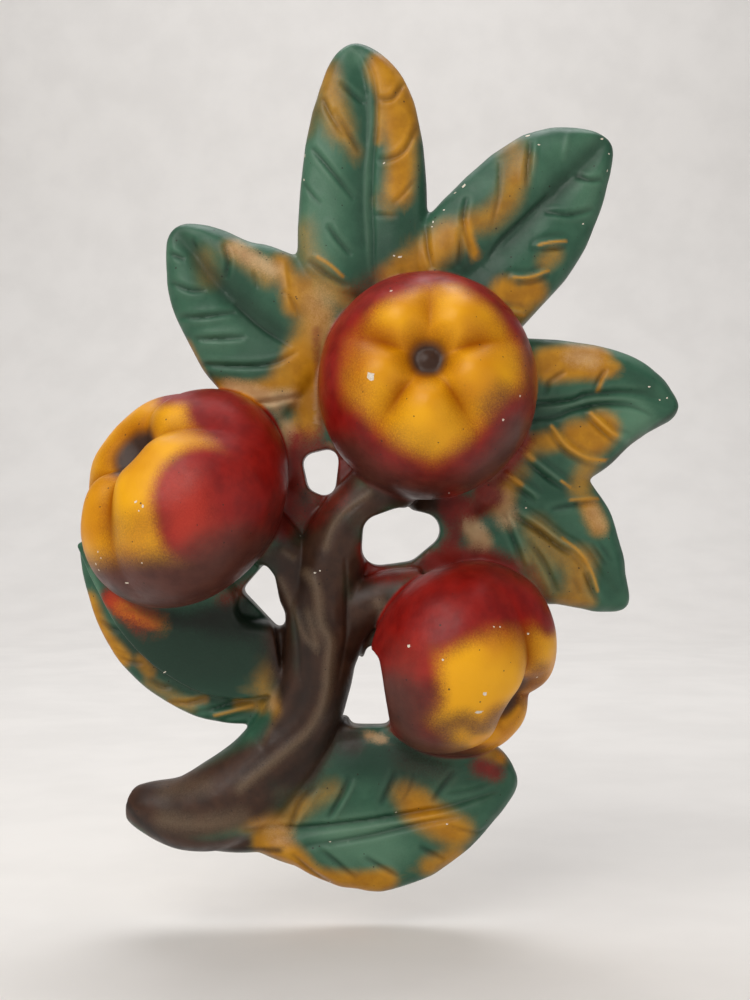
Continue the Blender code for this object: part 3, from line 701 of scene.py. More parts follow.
APPLE_CLEAR = 0.95  # share of an apple's radius that stays free of tool lines
WOBBLE = 0.16  # unevenness of the modelled surface
WOBBLE_SIZE = 9.0


def path_gap(spots, path):
    """Distance in the plane from each spot to a path, and the share of the path at that place."""
    best = np.full(len(spots), 1e9)
    place = np.zeros(len(spots))
    count = len(path) - 1
    for i in range(max(count, 1)):
        a, b = np.array(path[i]), np.array(path[min(i + 1, count)])
        span = max((b - a) @ (b - a), 1e-9)
        t = np.clip(((spots - a) @ (b - a)) / span, 0, 1)
        gap = np.linalg.norm(spots - (a + t[:, None] * (b - a)), axis=1)
        near = gap < best
        best[near] = gap[near]
        place[near] = (i + t[near]) / max(count, 1)
    return best, place


def near_path(spots, path, margin):
    """Which spots lie in the path's box, widened by the margin."""
    low = np.min(path, axis=0) - margin
    high = np.max(path, axis=0) + margin
    return np.flatnonzero(((spots > low) & (spots < high)).all(axis=1))


def tooled(spots):
    """How far the tool lines lift the surface at each spot."""
    lift = np.zeros(len(spots))
    for kind, *path in TOOL_LINES:
        height, half, lip, aside, lip_half = PRESS[kind]
        close = near_path(spots, path, aside + 3 * lip_half + 2 * half)
        smooth = through(path, 8 * len(path)) if len(path) > 2 else path
        gap, place = path_gap(spots[close], smooth)
        sweep = np.clip(place * (1 - LINE_START) + LINE_START, 0, 1)
        press = height * np.exp(-((gap / half) ** 2))
        press += lip * np.exp(-(((gap - aside) / lip_half) ** 2))
        lift[close] += press * np.sin(sweep * math.pi) ** LINE_FADE
    return lift


def plaque_places(mesh, scale):
    """Vertex places as x, z and d on the plaque, from a mesh at the given scale."""
    points = np.empty(len(mesh.vertices) * 3)
    mesh.vertices.foreach_get("co", points)
    return points.reshape(-1, 3) / scale


points = plaque_places(surface, 1.0)
spots = points[:, [0, 2]]
on_apple = np.zeros(len(points), bool)
for apple in APPLES.values():
    x, z, _ = apple["at"]
    on_apple |= np.hypot(spots[:, 0] - x, spots[:, 1] - z) < apple["across"][0] * APPLE_CLEAR
lift = np.where(on_apple | (points[:, 1] > -LEAF_WALL), 0.0, tooled(spots))
for axis in (0, 1, 2):
    shifted = points / WOBBLE_SIZE + 10 * axis
    sway = np.array([noise.noise(Vector(p)) for p in shifted]) * WOBBLE
    points[:, axis] += sway
points[:, 1] -= lift
surface.vertices.foreach_set("co", points.ravel())
surface.update()

thinned = placed("tooled_clay", surface)
thin = thinned.modifiers.new("thin", "DECIMATE")
thin.ratio = min(1.0, CAST_TRIANGLES / (2 * len(surface.polygons)))
body = settled(thinned)
body.transform(Matrix.Scale(MM, 4) @ Matrix.Translation((-HANG_X, 0.0, -HANG_Z)))
span = max(cad_box[1][k] - cad_box[0][k] for k in range(3)) / MM
block = ((-span, -span), (span, -span), (span, span), (-span, span))
around = [math.pi / 2 * k / ROUND_STEPS for k in range(4 * ROUND_STEPS)]
circle = [(RECESS_RADIUS * math.cos(angle), RECESS_RADIUS * math.sin(angle)) for angle in around]
cutters = [
    bar("struck_back", block, 0.0, CUT_BACK),
    bar("nail_recess", circle, -RECESS_DEPTH, CUT_BACK / 2),
]
for cutter in cutters:
    cutter.transform(Matrix.Scale(MM, 4))
body = cut_away(placed("whole_cast", body), cutters)
body.name = "painted_cast"
points = plaque_places(body, 1.0)
body.vertices.foreach_set("co", np.clip(points, cad_box[0], cad_box[1]).ravel())
body.update()

# Paint. The casting was sprayed in thin coats of distemper from the front, over a pale priming:
# leaf green, amber, fruit yellow, reds and plum on the apples, brown on the branch. Some coats are
# painted light: the shade coat is painted shade, and parts of other coats are painted shade,
# sheen and highlight, as noted at each. Each stroke here, (strength, half width, soft edge, places
# on its path), is laid like a pass of the spray gun.
SPRAYS = {
    "light": (
        (0.5, 7.5, 7.5, (-19, 119), (-19, 102), (-18, 87)),
        (0.35, 2.7, 3.4, (-8.5, 150.5), (-10.5, 153)),
        (0.3, 7, 7, (-54, 54), (-46, 56)),
        (0.25, 5, 5.5, (-67, 87), (-67, 77)),
        (0.3, 1, 1, (-70.5, 89.5), (-72, 79), (-70.5, 65.5)),
        (0.5, 5, 6, (74, 110), (72, 102)),
        (0.3, 4, 5, (63, 119), (73, 123)),
        (0.25, 3, 4, (58, 114), (56, 109)),
        (0.9, 5, 5, (84, 24), (90, 27)),
        (0.4, 2.7, 3.4, (77, 30.5), (90.5, 30)),
        (0.3, 1.4, 1.7, (63.5, 54.5), (77.5, 53), (91, 47.5)),
        (0.35, 4, 5, (77, 10), (70, 14)),
        (0.25, 4, 5, (70, -8), (75, -7)),
        (0.8, 0.8, 1, (-96.5, -23.5), (-90.5, -38), (-82, -52), (-69.5, -62), (-53, -68)),
        (0.3, 1.7, 2, (-72, -67), (-58.5, -71.5)),
        (0.5, 1.4, 1.4, (-86.5, -34), (-90, -24.5)),
        (0.75, 8, 8, (-10, -115), (3, -119)),
        (0.3, 3.5, 4, (26, -101), (32, -102)),
        (0.3, 3.5, 4, (-20, -107)),
        (0.5, 3.5, 5, (-24, 97), (-24, 89)),
    ),
    "deep": (
        (0.55, 2, 3.4, (-3, 140), (-3, 126), (-5, 109), (-4.5, 88.5)),
        (0.6, 8, 7.5, (9, 94), (4, 81)),
        (0.4, 2, 2.7, (17, 120.5), (17.5, 103)),
        (0.5, 4, 5, (-49, 77), (-43, 68), (-34, 58)),
        (0.35, 5, 5, (-42, 51), (-34, 46)),
        (0.8, 5.5, 6, (31, 81), (40, 73)),
        (0.35, 3.5, 4, (51, 91), (43, 84)),
        (0.3, 3.5, 4, (31, 106), (26, 99)),
        (0.4, 1.7, 2, (77.5, 94.5), (72.5, 82.5), (63.5, 71.5)),
        (0.45, 3.5, 4, (56, 33), (66, 33), (77, 34)),
        (0.5, 5, 5, (56, 27), (60, 29)),
        (0.35, 2.4, 2.7, (80, 46), (94, 39)),
        (0.3, 5, 5.5, (56, 12), (63, 6)),
        (0.4, 3.5, 4, (77, -20), (81, -31)),
        # Painted shade: these two strokes darken the folded leaf below the left apple, over its darker
        # green.
        (1, 14.5, 9, (-76, -47), (-59, -51), (-46, -51)),
        (0.8, 7, 5.5, (-51, -64), (-63, -59)),
        (0.95, 7.5, 7.5, (-8, -88), (3, -89), (8, -94)),
        (0.3, 2.7, 3.4, (29, -95.5), (36, -94)),
        (0.5, 2, 2.7, (26, -126.5), (36, -116.5), (43, -107)),
    ),
    "amber": (
        (0.72, 4, 5, (-17, 146), (-15, 137), (-12, 127)),
        (0.5, 2, 3.4, (-10, 124), (-7, 118.5)),
        (1, 6.5, 3.5, (4, 147), (8, 139), (9, 128)),
        (1, 4.5, 4, (9, 122), (9, 114), (8, 105)),
        (0.7, 1.4, 2, (1, 150), (2, 136.5), (1.5, 122.5)),
        (0.35, 1.7, 3.1, (1.5, 102), (5, 98)),
        (0.35, 2.7, 4.1, (-22.5, 134), (-23.5, 127.5)),
        (0.4, 3, 5, (-24, 92), (-23, 85), (-19, 78)),
        (0.9, 0.5, 0.7, (-19.5, 82.5), (-15.5, 80), (-11, 76)),
        (0.55, 2.7, 4.1, (-49, 86), (-42.5, 81), (-36.5, 75.5)),
        (0.9, 3, 3.5, (-32, 81), (-29, 73), (-28, 66)),
        (0.85, 5, 5.5, (-24, 72), (-21, 61), (-24, 51)),
        (0.55, 3.5, 4, (-15, 72), (-10, 68)),
        (1, 6, 4, (-25, 48), (-24, 36), (-25, 26)),
        (0.95, 3, 3, (-55, 38), (-42, 37), (-31, 40)),
        (0.7, 2.7, 3.4, (-32.5, 43.5), (-27.5, 47.5)),
        (0.3, 3, 5, (-58, 83), (-57, 76)),
        (0.7, 1.4, 1.7, (-64.5, 53.5), (-59, 42.5)),
        (0.5, 2.7, 3.4, (-17, 63), (-18.5, 54.5)),
        (0.5, 3.5, 5, (47, 120), (47, 114)),
        (0.78, 3.5, 5, (47, 108), (45, 102), (39, 96), (33, 94)),
        (0.92, 5.5, 5, (25, 89), (19, 84), (13, 79)),
        (1, 1.7, 1.7, (31, 93.5), (32, 88), (34, 83.5)),
        (1, 4.5, 3.5, (44, 71), (49, 69), (54, 71)),
        (0.6, 3, 3.5, (51, 65), (46, 60)),
        (0.95, 0.4, 0.6, (47, 75.5), (52.5, 75.5), (59, 78)),
        (0.95, 0.4, 0.6, (55.5, 86.5), (60, 87.5), (65, 88)),
        (0.55, 2.7, 3.4, (58, 81), (61, 83.5)),
        (0.95, 0.5, 0.6, (43, 63.5), (51, 63)),
        (0.8, 2.7, 4.1, (3.5, 76), (8, 79.5)),
        (0.4, 2.7, 3.4, (49, 109.5), (51, 115.5)),
        (1, 6, 3, (59, 46), (68, 47), (75, 47)),
        (0.9, 0.6, 1, (76, 37.5), (78, 43)),
        (0.8, 1.7, 2, (82, 45.5), (80, 43.5)),
        (1, 6, 3.5, (69, 21), (74, 21), (77, 24)),
        (0.95, 3.5, 3, (52, 18), (60, 20)),
        (0.65, 3.5, 4, (73, 12), (70, 4)),
        (0.95, 0.6, 0.7, (73.5, 29.5), (78, 25), (82, 22)),
        (0.95, 0.6, 0.7, (60, 25), (64, 19.5), (68.5, 16), (73, 14), (79, 13.5)),
        (1, 0.9, 1, (49.5, 18), (53.5, 14)),
        (1, 0.8, 1, (45, 9), (49.5, 5.5)),
        (0.9, 0.4, 0.6, (63.5, 6.5), (67, 4)),
        (0.9, 4.5, 4, (44, 5), (42, 0)),
        (0.5, 3, 4, (49, 10)),
        (0.9, 3, 3, (73, -2), (76, -9)),
        (0.9, 0.4, 0.7, (66.5, 0), (76.5, 0.5)),
        (0.7, 4.5, 5, (70, -21), (69, -31)),
        (0.5, 4, 5, (55, -10), (63, -19)),
        (0.35, 4, 5, (58, -31), (53, -20)),
        (0.9, 0.4, 0.7, (64, -13), (70, -18), (74, -24.5), (76, -31)),
        (0.55, 2, 2.7, (63.5, -34.5), (73.5, -35)),
        (1, 2.7, 2.4, (-98.5, -34.5), (-93.5, -46), (-86.5, -54.5)),
        (0.7, 2, 2, (-80.5, -55), (-77.5, -59)),
        (0.4, 2, 2.7, (-77.5, -63), (-63.5, -71)),
        (0.5, 3, 4, (-35, -57), (-38, -64), (-34, -67)),
        (0.6, 2, 2, (-46.5, -70), (-38.5, -70.5)),
        (0.55, 1.4, 1.4, (-70.5, -70), (-58.5, -68.5)),
        (0.8, 0.5, 0.8, (-55, -74), (-42, -70.5)),
        (0.85, 2.4, 2.4, (-32.5, -69), (-32, -77), (-35, -84)),
        (1, 4.5, 3, (-38, -117), (-29, -121), (-21, -129), (-7, -131), (3, -130)),
        (0.95, 5, 5, (-40, -107), (-34, -112)),
        (1, 5, 4.5, (14, -105), (22, -110), (28, -113)),
        (0.85, 3.5, 3.5, (27, -122), (19, -125)),
        (0.6, 4, 4, (10, -100), (15, -102)),
        (0.5, 3, 3.5, (-26, -102), (-29, -107)),
        (0.8, 2.7, 2.7, (43, -88), (37.5, -85.5)),
        (0.4, 3, 4, (-15, -98), (-26, -106)),
    ),
    "bare": (
        (0.85, 2.4, 3.1, (-47.5, 86), (-41, 82), (-35, 78.5)),
        (0.95, 2, 2.7, (-50, 39), (-40, 36.5), (-32.5, 30.5), (-28, 20.5)),
        (0.95, 2.7, 3.1, (-40, 30.5), (-38.5, 34), (-29, 34.5)),
        (0.6, 1.7, 2.4, (-29, 15.5), (-31, 22.5)),
        (0.7, 3, 3.5, (68, 49), (74, 48)),
        (0.6, 2.7, 3.1, (74.5, -4), (76.5, -8.5)),
        (1, 3.5, 2.5, (32, -8), (36, -14), (35, -17)),
        (0.7, 2, 2.4, (35, -1.5), (39.5, 1.5)),
        (0.8, 3.5, 3.5, (43, 0), (45, -6)),
        (0.9, 1.4, 1.4, (-2.5, -80.5), (2.5, -82)),
        (0.9, 0.8, 1, (-9, -78), (5, -73)),
        (0.9, 0.5, 0.7, (-20, 24.5), (-20, 41), (-16.5, 51.5)),
        (0.8, 0.7, 1, (33.5, -7), (34.5, -1.5)),
        (0.55, 1.7, 2, (-34.5, -78.5), (-36, -84)),
        (0.4, 3.5, 4, (-38, -107), (-32, -115)),
        (0.6, 1.7, 2, (-32, -64), (-35, -69.5)),
        (0.7, 0.7, 1, (-15.5, 19), (-11.5, 13.5)),
        (0.35, 5, 5, (-19, 68), (-17, 58)),
    ),
    "brown": (
        (1, 9, 3.5, (-83, -102), (-71, -106), (-57, -104), (-43, -99)),
        (1, 7.5, 3.5, (-76, -102), (-59, -98), (-40, -89)),
        (1, 11.5, 4, (-28, -85), (-20, -72), (-16, -57), (-16, -43)),
        (1, 10, 4, (-19, -33), (-19, -23), (-15, -13)),
        (1, 5.5, 3.5, (-3, 0), (7, 3), (22, 0)),
        (1, 7.5, 4, (-4, -20), (-2, -34), (-8, -47)),
        (1, 7, 3.5, (-8, -47), (-15, -67), (-25, -87)),
        (1, 4.5, 3, (-29, -20), (-32, -48), (-28, -67)),
        (0.8, 4, 4, (-10, -77), (-8, -82)),
        (0.75, 6, 5.5, (-25, -94), (-35, -100)),
        (0.9, 3.5, 2.5, (-16, 10), (-10, 16)),
        (0.8, 4, 4, (5, -27), (8, -33)),
        (1, 3.5, 3, (-8, 10), (-10, 3), (-14, -3)),
        (0.9, 3, 3, (-25, 0), (-20, -8)),
        (0.45, 5, 5, (22, -92), (12, -88)),
        (0.5, 2, 2, (91, 20.5), (77.5, 8.5)),
        (0.6, 2, 2, (26.5, -4)),
        (0.8, 4, 3.5, (-34, -45), (-29, -51)),
        (0.9, 3, 3.5, (-8, 12), (-13, 8), (-17, 0)),
        (0.8, 2.4, 2.7, (8.5, -4), (19, -2)),
        (1, 4, 2.5, (-74, -114), (-59, -118), (-46, -117)),
        (0.9, 3.5, 3.5, (-25, 4), (-26, -2)),
        (0.9, 3.5, 3.5, (-8, -3), (-5, -7), (-1, -4)),
        (0.85, 4, 4, (-31, -12), (-29, -16), (-36, -20)),
        (0.6, 2.7, 2.7, (24.5, -4), (26.5, -7)),
    ),
    "shade": (
        (0.75, 5, 5, (-42, -43), (-54, -41)),
        (0.22, 11.5, 7, (-71, -50), (-58, -51), (-44, -49)),
        (0.7, 2.4, 2, (-85.5, -30.5), (-76, -38), (-62.5, -41.5), (-51, -38)),
        (0.35, 4, 4, (-30, -7), (-34, -22)),
        (0.7, 2.7, 3.4, (-59.5, -39.5), (-46, -37), (-39, -29)),
        (0.5, 3.5, 3.5, (-37, -51), (-32, -64)),
        (0.5, 3.5, 3.5, (-8, -83), (-10, -68)),
        (0.4, 2.7, 2.7, (1.5, 1.5), (22.5, 0)),
        (0.8, 1, 1, (-85, -104), (-80, -109), (-73, -115), (-66.5, -118.5), (-46, -119.5),
            (-32.5, -119)),
        (0.6, 0.9, 1, (19, 100.5), (18, 117), (17, 127.5)),
        (0.6, 1, 1, (104, 30.5), (91, 20.5), (79, 10.5), (76.5, 5.5)),
        (0.5, 1, 1, (49, 52.5), (63.5, 55)),
        (0.4, 4, 3.5, (8, -84), (19, -90)),
    ),
    # Pale greyish tan along the bark ridges and the branch's upper edge: partly rubbed wear, partly
    # painted highlight.
    "rubbed_and_highlit": (
        (0.75, 1, 1.7, (-1.5, 2.5), (-9.5, -3), (-14.5, -9.5), (-16.5, -16)),
        (0.85, 1.4, 2.4, (-23, -24.5), (-19.5, -29.5), (-18, -41), (-15, -47), (-15.5, -55),
            (-17, -67.5), (-22.5, -77.5), (-32.5, -86), (-45, -96)),
        (0.6, 1.4, 2.7, (-22.5, -38), (-19.5, -48.5)),
        (0.7, 0.9, 1.4, (-31, -17), (-27.5, -19.5)),
        (0.55, 1, 1.7, (-32, -26.5), (-24, -45), (-20.5, -48.5)),
        (0.7, 1.7, 2.4, (1, -34.5), (3.5, -38)),
        (0.8, 2.7, 4.8, (-71, -108), (-57, -109), (-45, -106.5)),
        (0.4, 2.7, 3.4, (-71.5, -99), (-57, -96)),
        (0.5, 2.4, 4.1, (-9.5, 19.5), (-4.5, 6.5)),
        (0.35, 2.7, 4.1, (-45.5, -111), (-53.5, -107.5)),
    ),
    "red": (
        (1, 6.5, 7, (-11, 65), (-14, 51), (-15, 37), (-13, 26)),
        (1, 10.5, 6, (-10, 20), (0, 10), (8, 5)),
        (1, 10, 6, (8, 3), (18, 2), (28, 4)),
        (1, 11, 6, (31, 6), (40, 15), (47, 24)),
        (0.95, 4.5, 7, (50, 31), (51, 41), (50, 51)),
        (1, 6, 5, (48, 57), (42, 65), (34, 71)),
        (1, 6, 4, (33, 75), (18, 75), (7, 73)),
        (1, 7, 5, (6, 72), (-3, 67), (-10, 61)),
        (0.4, 3, 5.5, (-3, 57), (-5, 48), (-4, 34)),
        (1, 4, 3.5, (-70, 35), (-62, 35), (-54, 33)),
        (1, 9.5, 4, (-52, 30), (-44, 24), (-38, 16)),
        (1, 9, 4, (-35, 24), (-30, 10), (-31, -4)),
        (1, 16.5, 4, (-53, 1)),
        (1, 13.5, 3.5, (-47, 0), (-41, 0)),
        (1, 11.5, 4, (-56, -9), (-44, -15), (-36, -6)),
        (1, 10, 4, (4, -43), (12, -29), (31, -20), (48, -22), (60, -34)),
        (1, 11, 7, (17, -34), (32, -31), (46, -32)),
        (1, 7, 6, (20, -41), (29, -36)),
        (1, 12, 5.5, (7, -45), (9, -60)),
        (1, 7, 5, (7, -71), (16, -79)),
        (0.8, 2.7, 2.7, (55, -36.5), (57, -41.5)),
    ),
    # Plum on the apples' lower sides: sprayed paint, and partly painted shade on the undersides.
    "plum": (
        (0.95, 8.5, 7, (-10, 13), (0, 4), (17, 0), (36, 5), (48, 20)),
        (0.45, 3.5, 4, (36, 30), (40, 34)),
        (0.2, 4, 4, (8, 20), (16, 17)),
        (0.4, 2.4, 3.4, (51, 49.5), (51, 32.5)),
        (1, 17, 8, (-100, -38), (-68, -34), (-54, -33), (-36, -26)),
        (0.5, 9, 9, (-98, -30), (-71, -27), (-58, -25)),
        (0.8, 4.5, 4.5, (-28, -2), (-30, -10), (-34, -19)),
        (0.3, 5, 5.5, (-82, -9), (-71, -8)),
        (0.5, 5, 5.5, (-53, -14), (-43, -12)),
        (1, 13.5, 7, (0, -69), (6, -82), (19, -92), (32, -96)),
        (0.7, 7, 5.5, (8, -61), (14, -64)),
        (0.3, 4, 5, (7, -48), (10, -51)),
        (0.5, 3.5, 3.5, (54, -56), (55, -69)),
        (0.75, 3.5, 4, (22, -72), (28, -70), (34, -73), (40, -69), (47, -67)),
        (0.35, 4, 4, (45, -90), (51, -83)),
        (0.6, 4.5, 5, (23, -78), (31, -85)),
    ),
    # Lighter rosy red on the apples' fronts: partly paint, partly a painted sheen.
    "rose": (
        (0.6, 7.5, 7, (-61, 3), (-58, -4)),
        (0.5, 6, 6, (-58, -12), (-50, -14)),
        (0.35, 5.5, 6, (14, -49), (9, -56)),
    ),
    "gold": (
        (1, 2.7, 1.7, (33.5, -78.5), (39, -78.5)),
        (0.8, 1.4, 1.4, (43.5, -74), (48, -70.5)),
        (0.4, 2.4, 3.1, (-85.5, -36.5), (-79, -39.5), (-73, -41.5)),
        (0.5, 1.7, 1.7, (43, -88)),
    ),
    "haze": (
        (0.95, 3, 3.5, (-27, 21), (-29, 3), (-31, -10)),
        (0.6, 4, 3.5, (-22, 21), (-19, -2), (-26, -7)),
        (0.35, 3.5, 3.5, (-10, 10), (-12, 0)),
        (0.9, 2.4, 2.7, (51.5, 20.5), (47.5, 14), (42.5, 7.5), (36.5, 3.5)),
        (0.95, 4, 3, (26, 0), (32, -3), (40, 1)),
        (0.9, 2.7, 2.4, (25, -4), (27.5, -10.5), (25.5, -16)),
        (1, 4, 4, (22, -21), (36, -20), (46, -24)),
        (0.8, 2.7, 2.7, (21, -20.5), (8.5, -25.5), (-1.5, -24.5)),
        (0.9, 2.7, 2.7, (31, -20), (19, -21.5)),
        (0.7, 1.4, 1.7, (-4.5, -16), (-3, -22.5)),
        (0.5, 1.7, 2, (24, -15.5), (27.5, -19)),
        (0.95, 3, 2.5, (-90, -33), (-83, -38), (-75, -41)),
        (0.6, 2, 2.4, (-79.5, -44), (-86.5, -38)),
        (0.95, 3, 3, (36, -91), (41, -93)),
        (0.7, 2, 2.4, (3.5, -74), (6.5, -77.5)),
        (0.5, 2, 2.4, (58, -34), (53, -24)),
        (0.35, 3, 4, (2, 76), (-8, 70)),
        (0.5, 1.2, 1.4, (-20, 57.5), (-19, 34), (-18.5, 24)),
        (0.6, 2.7, 2.7, (-41.5, -29), (-51, -34)),
        (0.4, 2, 2.7, (-19, 19), (-25.5, 15.5)),
        (0.8, 2.7, 2.7, (-16, 16.5), (-10.5, 11)),
        (0.7, 2.4, 2.7, (-28.5, 16.5), (-25.5, 7)),
    ),
    "ember": (
        (0.9, 2.7, 2.7, (-89, -34), (-83, -37.5), (-76, -40.5)),
        (0.6, 2.7, 2, (-86.5, -34.5), (-81.5, -37.5)),
    ),
    "over": (
        (0.9, 2.7, 3.4, (-30, 29.5)),
        (0.5, 2.7, 4.1, (56, 15.5), (61.5, 13)),
    ),
}
SPRAY_SOFT = 1.6  # widens every soft edge, as a gun held further away does
MASK_RIM = 1.045  # the fruit coats end here, as a share of the apple's own size
MASK_SOFT = 0.025
MASK_DEPTH = 4.0  # nothing lower than this is fruit
NEAR_APPLE = 1.1  # how far out a crease or stain still belongs to its apple
CREASE_POWER = 1.4
RING_REACH = 1.8  # of the brown shade round the blossom, with 1.0 the stain's own radius
RING_SHARE = 0.8
STAIN_SOFT = 3.2
TOOL_FULL = 1.1  # lift that counts as fully pressed or raised
SIDE_FACING = 0.35  # sides that face the viewer less than this are darkened with painted shade
SIDE_SOFT = 0.45
SIDE_DEPTH = 9.0
SIDE_FADE = 4.0


def coat_cover(spots, strokes):
    """How fully the strokes of one coat cover each spot."""
    bare = np.ones(len(spots))
    for strength, half, feather, *path in strokes:
        feather = feather * SPRAY_SOFT
        close = near_path(spots, path, half + feather)
        smooth = through(path, 6 * len(path)) if len(path) > 2 else path
        gap, _ = path_gap(spots[close], smooth)
        edge = np.clip((half + feather / 2 - gap) / feather, 0, 1)
        bare[close] *= 1 - strength * edge * edge * (3 - 2 * edge)
    return 1 - bare


def paint_attribute(mesh, name, values):
    """Keeps one share from 0 to 1 on every vertex, for the material to read."""
    made = mesh.attributes.new(name, "FLOAT", "POINT")
    made.data.foreach_set("value", np.clip(values, 0, 1).astype(np.float32))


points = plaque_places(body, MM) + np.array((HANG_X, 0.0, HANG_Z))
spots = points[:, [0, 2]]
depth = -points[:, 1]
for coat, strokes in SPRAYS.items():
    paint_attribute(body, coat + "_coat", coat_cover(spots, strokes))

# Where the fruit is: its yellow coat was masked from the leaves, and ends at its outline.
fruit = np.zeros(len(points))
pit = np.zeros(len(points))
crease = np.zeros(len(points))
for apple in APPLES.values():
    x, z, d = apple["at"]
    axis = np.array(axis_of(apple))
    east = np.array((1.0, 0.0, 0.0)) - axis * axis[0]
    east /= np.linalg.norm(east)
    north = np.cross(axis, east)
    away = points - np.array((x, -d, z))
    sideways, upwards = apple["across"]
    u, v, w = away @ east, away @ north, away @ axis
    along = np.where(w > 0, *apple["along"])
    size = np.sqrt((u / sideways) ** 2 + (v / upwards) ** 2 + (w / along) ** 2)
    around = np.arctan2(v / upwards, u / sideways)
    polar = np.arctan2(np.hypot(u / sideways, v / upwards), w / along)
    swell = 1 + LOBE_SWELL * (LOBE_SHARE - creased(apple, around)) * fullness_at(apple, polar)
    masked = np.clip((MASK_RIM - size / swell) / MASK_SOFT, 0, 1)
    fruit = np.maximum(fruit, masked * (depth > MASK_DEPTH))
    # Creases and a ring round the blossom are darkened orange-brown: partly the stain in them, partly
    # painted shade in the hollows.
    dent = creased(apple, around) ** CREASE_POWER * fullness_at(apple, polar)
    ring = np.clip(RING_REACH - np.hypot(u, v) / apple["stained"], 0, 1) * (w > 0) * RING_SHARE
    crease = np.maximum(crease, np.maximum(dent, ring) * (size < NEAR_APPLE))
    inside = np.clip((apple["stained"] - np.hypot(u, v)) / STAIN_SOFT, 0, 1)
    pit = np.maximum(pit, inside * (w > 0) * (size < NEAR_APPLE))
paint_attribute(body, "fruit_coat", fruit)
paint_attribute(body, "pit_coat", pit)
paint_attribute(body, "crease_coat", crease)
press = tooled(spots) * (fruit < 0.5)
paint_attribute(body, "pressed", -press / TOOL_FULL)
paint_attribute(body, "raised", press / TOOL_FULL)
# Sides that turn away from the front are darkened near the back: painted shade there, over thicker
# paint on the edges.
normals = np.empty(len(body.vertices) * 3)
body.vertices.foreach_get("normal", normals)
facing = -normals.reshape(-1, 3)[:, 1]
turned = np.clip((SIDE_FACING - facing) / SIDE_SOFT, 0, 1)
low = np.clip((SIDE_DEPTH - depth) / SIDE_FADE, 0, 1)
paint_attribute(body, "side_shade_and_paint", turned * low)


def rgb(code):
    """A linear colour from a six-digit colour code."""
    parts = [int(code[k : k + 2], 16) / 255 for k in (0, 2, 4)]
    return tuple(c / 12.92 if c < 0.04045 else ((c + 0.055) / 1.055) ** 2.4 for c in parts) + (1.0,)


class Nodes:
    """Short ways to add and link the nodes of one material. Sizes are in millimetres."""

    def __init__(self, name):
        self.material = bpy.data.materials.new(name)
        self.material.use_nodes = True
        self.tree = self.material.node_tree
        self.shader = self.tree.nodes["Principled BSDF"]

    def feed(self, socket, value):
        """Links a socket to the input, or sets it to a number or colour."""
        if isinstance(value, bpy.types.NodeSocket):
            self.tree.links.new(value, socket)
        else:
            socket.default_value = value

    def math(self, operation, a, b=0.0, clamp=False):
        node = self.tree.nodes.new("ShaderNodeMath")
        node.operation = operation
        node.use_clamp = clamp
        self.feed(node.inputs[0], a)
        self.feed(node.inputs[1], b)
        return node.outputs[0]

    def times(self, a, b):
        return self.math("MULTIPLY", a, b)

    def ramp(self, value, low, high, out_low=0.0, out_high=1.0):
        node = self.tree.nodes.new("ShaderNodeMapRange")
        node.interpolation_type = "SMOOTHSTEP"
        for socket, number in zip(node.inputs, (value, low, high, out_low, out_high)):
            self.feed(socket, number)
        return node.outputs[0]

    def mix(self, share, a, b):
        node = self.tree.nodes.new("ShaderNodeMix")
        node.data_type = "RGBA"
        self.feed(node.inputs[0], share)
        self.feed(node.inputs[6], a)
        self.feed(node.inputs[7], b)
        return node.outputs[2]

    def attribute(self, name):
        node = self.tree.nodes.new("ShaderNodeAttribute")
        node.attribute_name = name
        return node.outputs["Fac"]

    def place(self):
        return self.tree.nodes.new("ShaderNodeTexCoord").outputs["Object"]

    def noise(self, size, detail=2.0, rough=0.5):
        """Noise whose blotches are about the given size."""
        node = self.tree.nodes.new("ShaderNodeTexNoise")
        node.inputs["Scale"].default_value = 1 / (size * MM)
        node.inputs["Detail"].default_value = detail
        node.inputs["Roughness"].default_value = rough
        self.tree.links.new(self.place(), node.inputs["Vector"])
        return node.outputs["Fac"]

    def dots(self, size, radius):
        """Round specks on a lattice of the given size, each up to the given share of a cell."""
        node = self.tree.nodes.new("ShaderNodeTexVoronoi")
        node.inputs["Scale"].default_value = 1 / (size * MM)
        self.tree.links.new(self.place(), node.inputs["Vector"])
        chance = self.tree.nodes.new("ShaderNodeSeparateColor")
        self.tree.links.new(node.outputs["Color"], chance.inputs[0])
        reach = self.times(chance.outputs[0], radius)
        return self.math("LESS_THAN", node.outputs["Distance"], reach), chance.outputs[1]


BACK_SKIN = 0.25  # depth of casting that counts as the unpainted back
RECESS_SKIN = 0.4  # the same beside the nail recess
RECESS_FLOOR = 1.0  # and in front of it


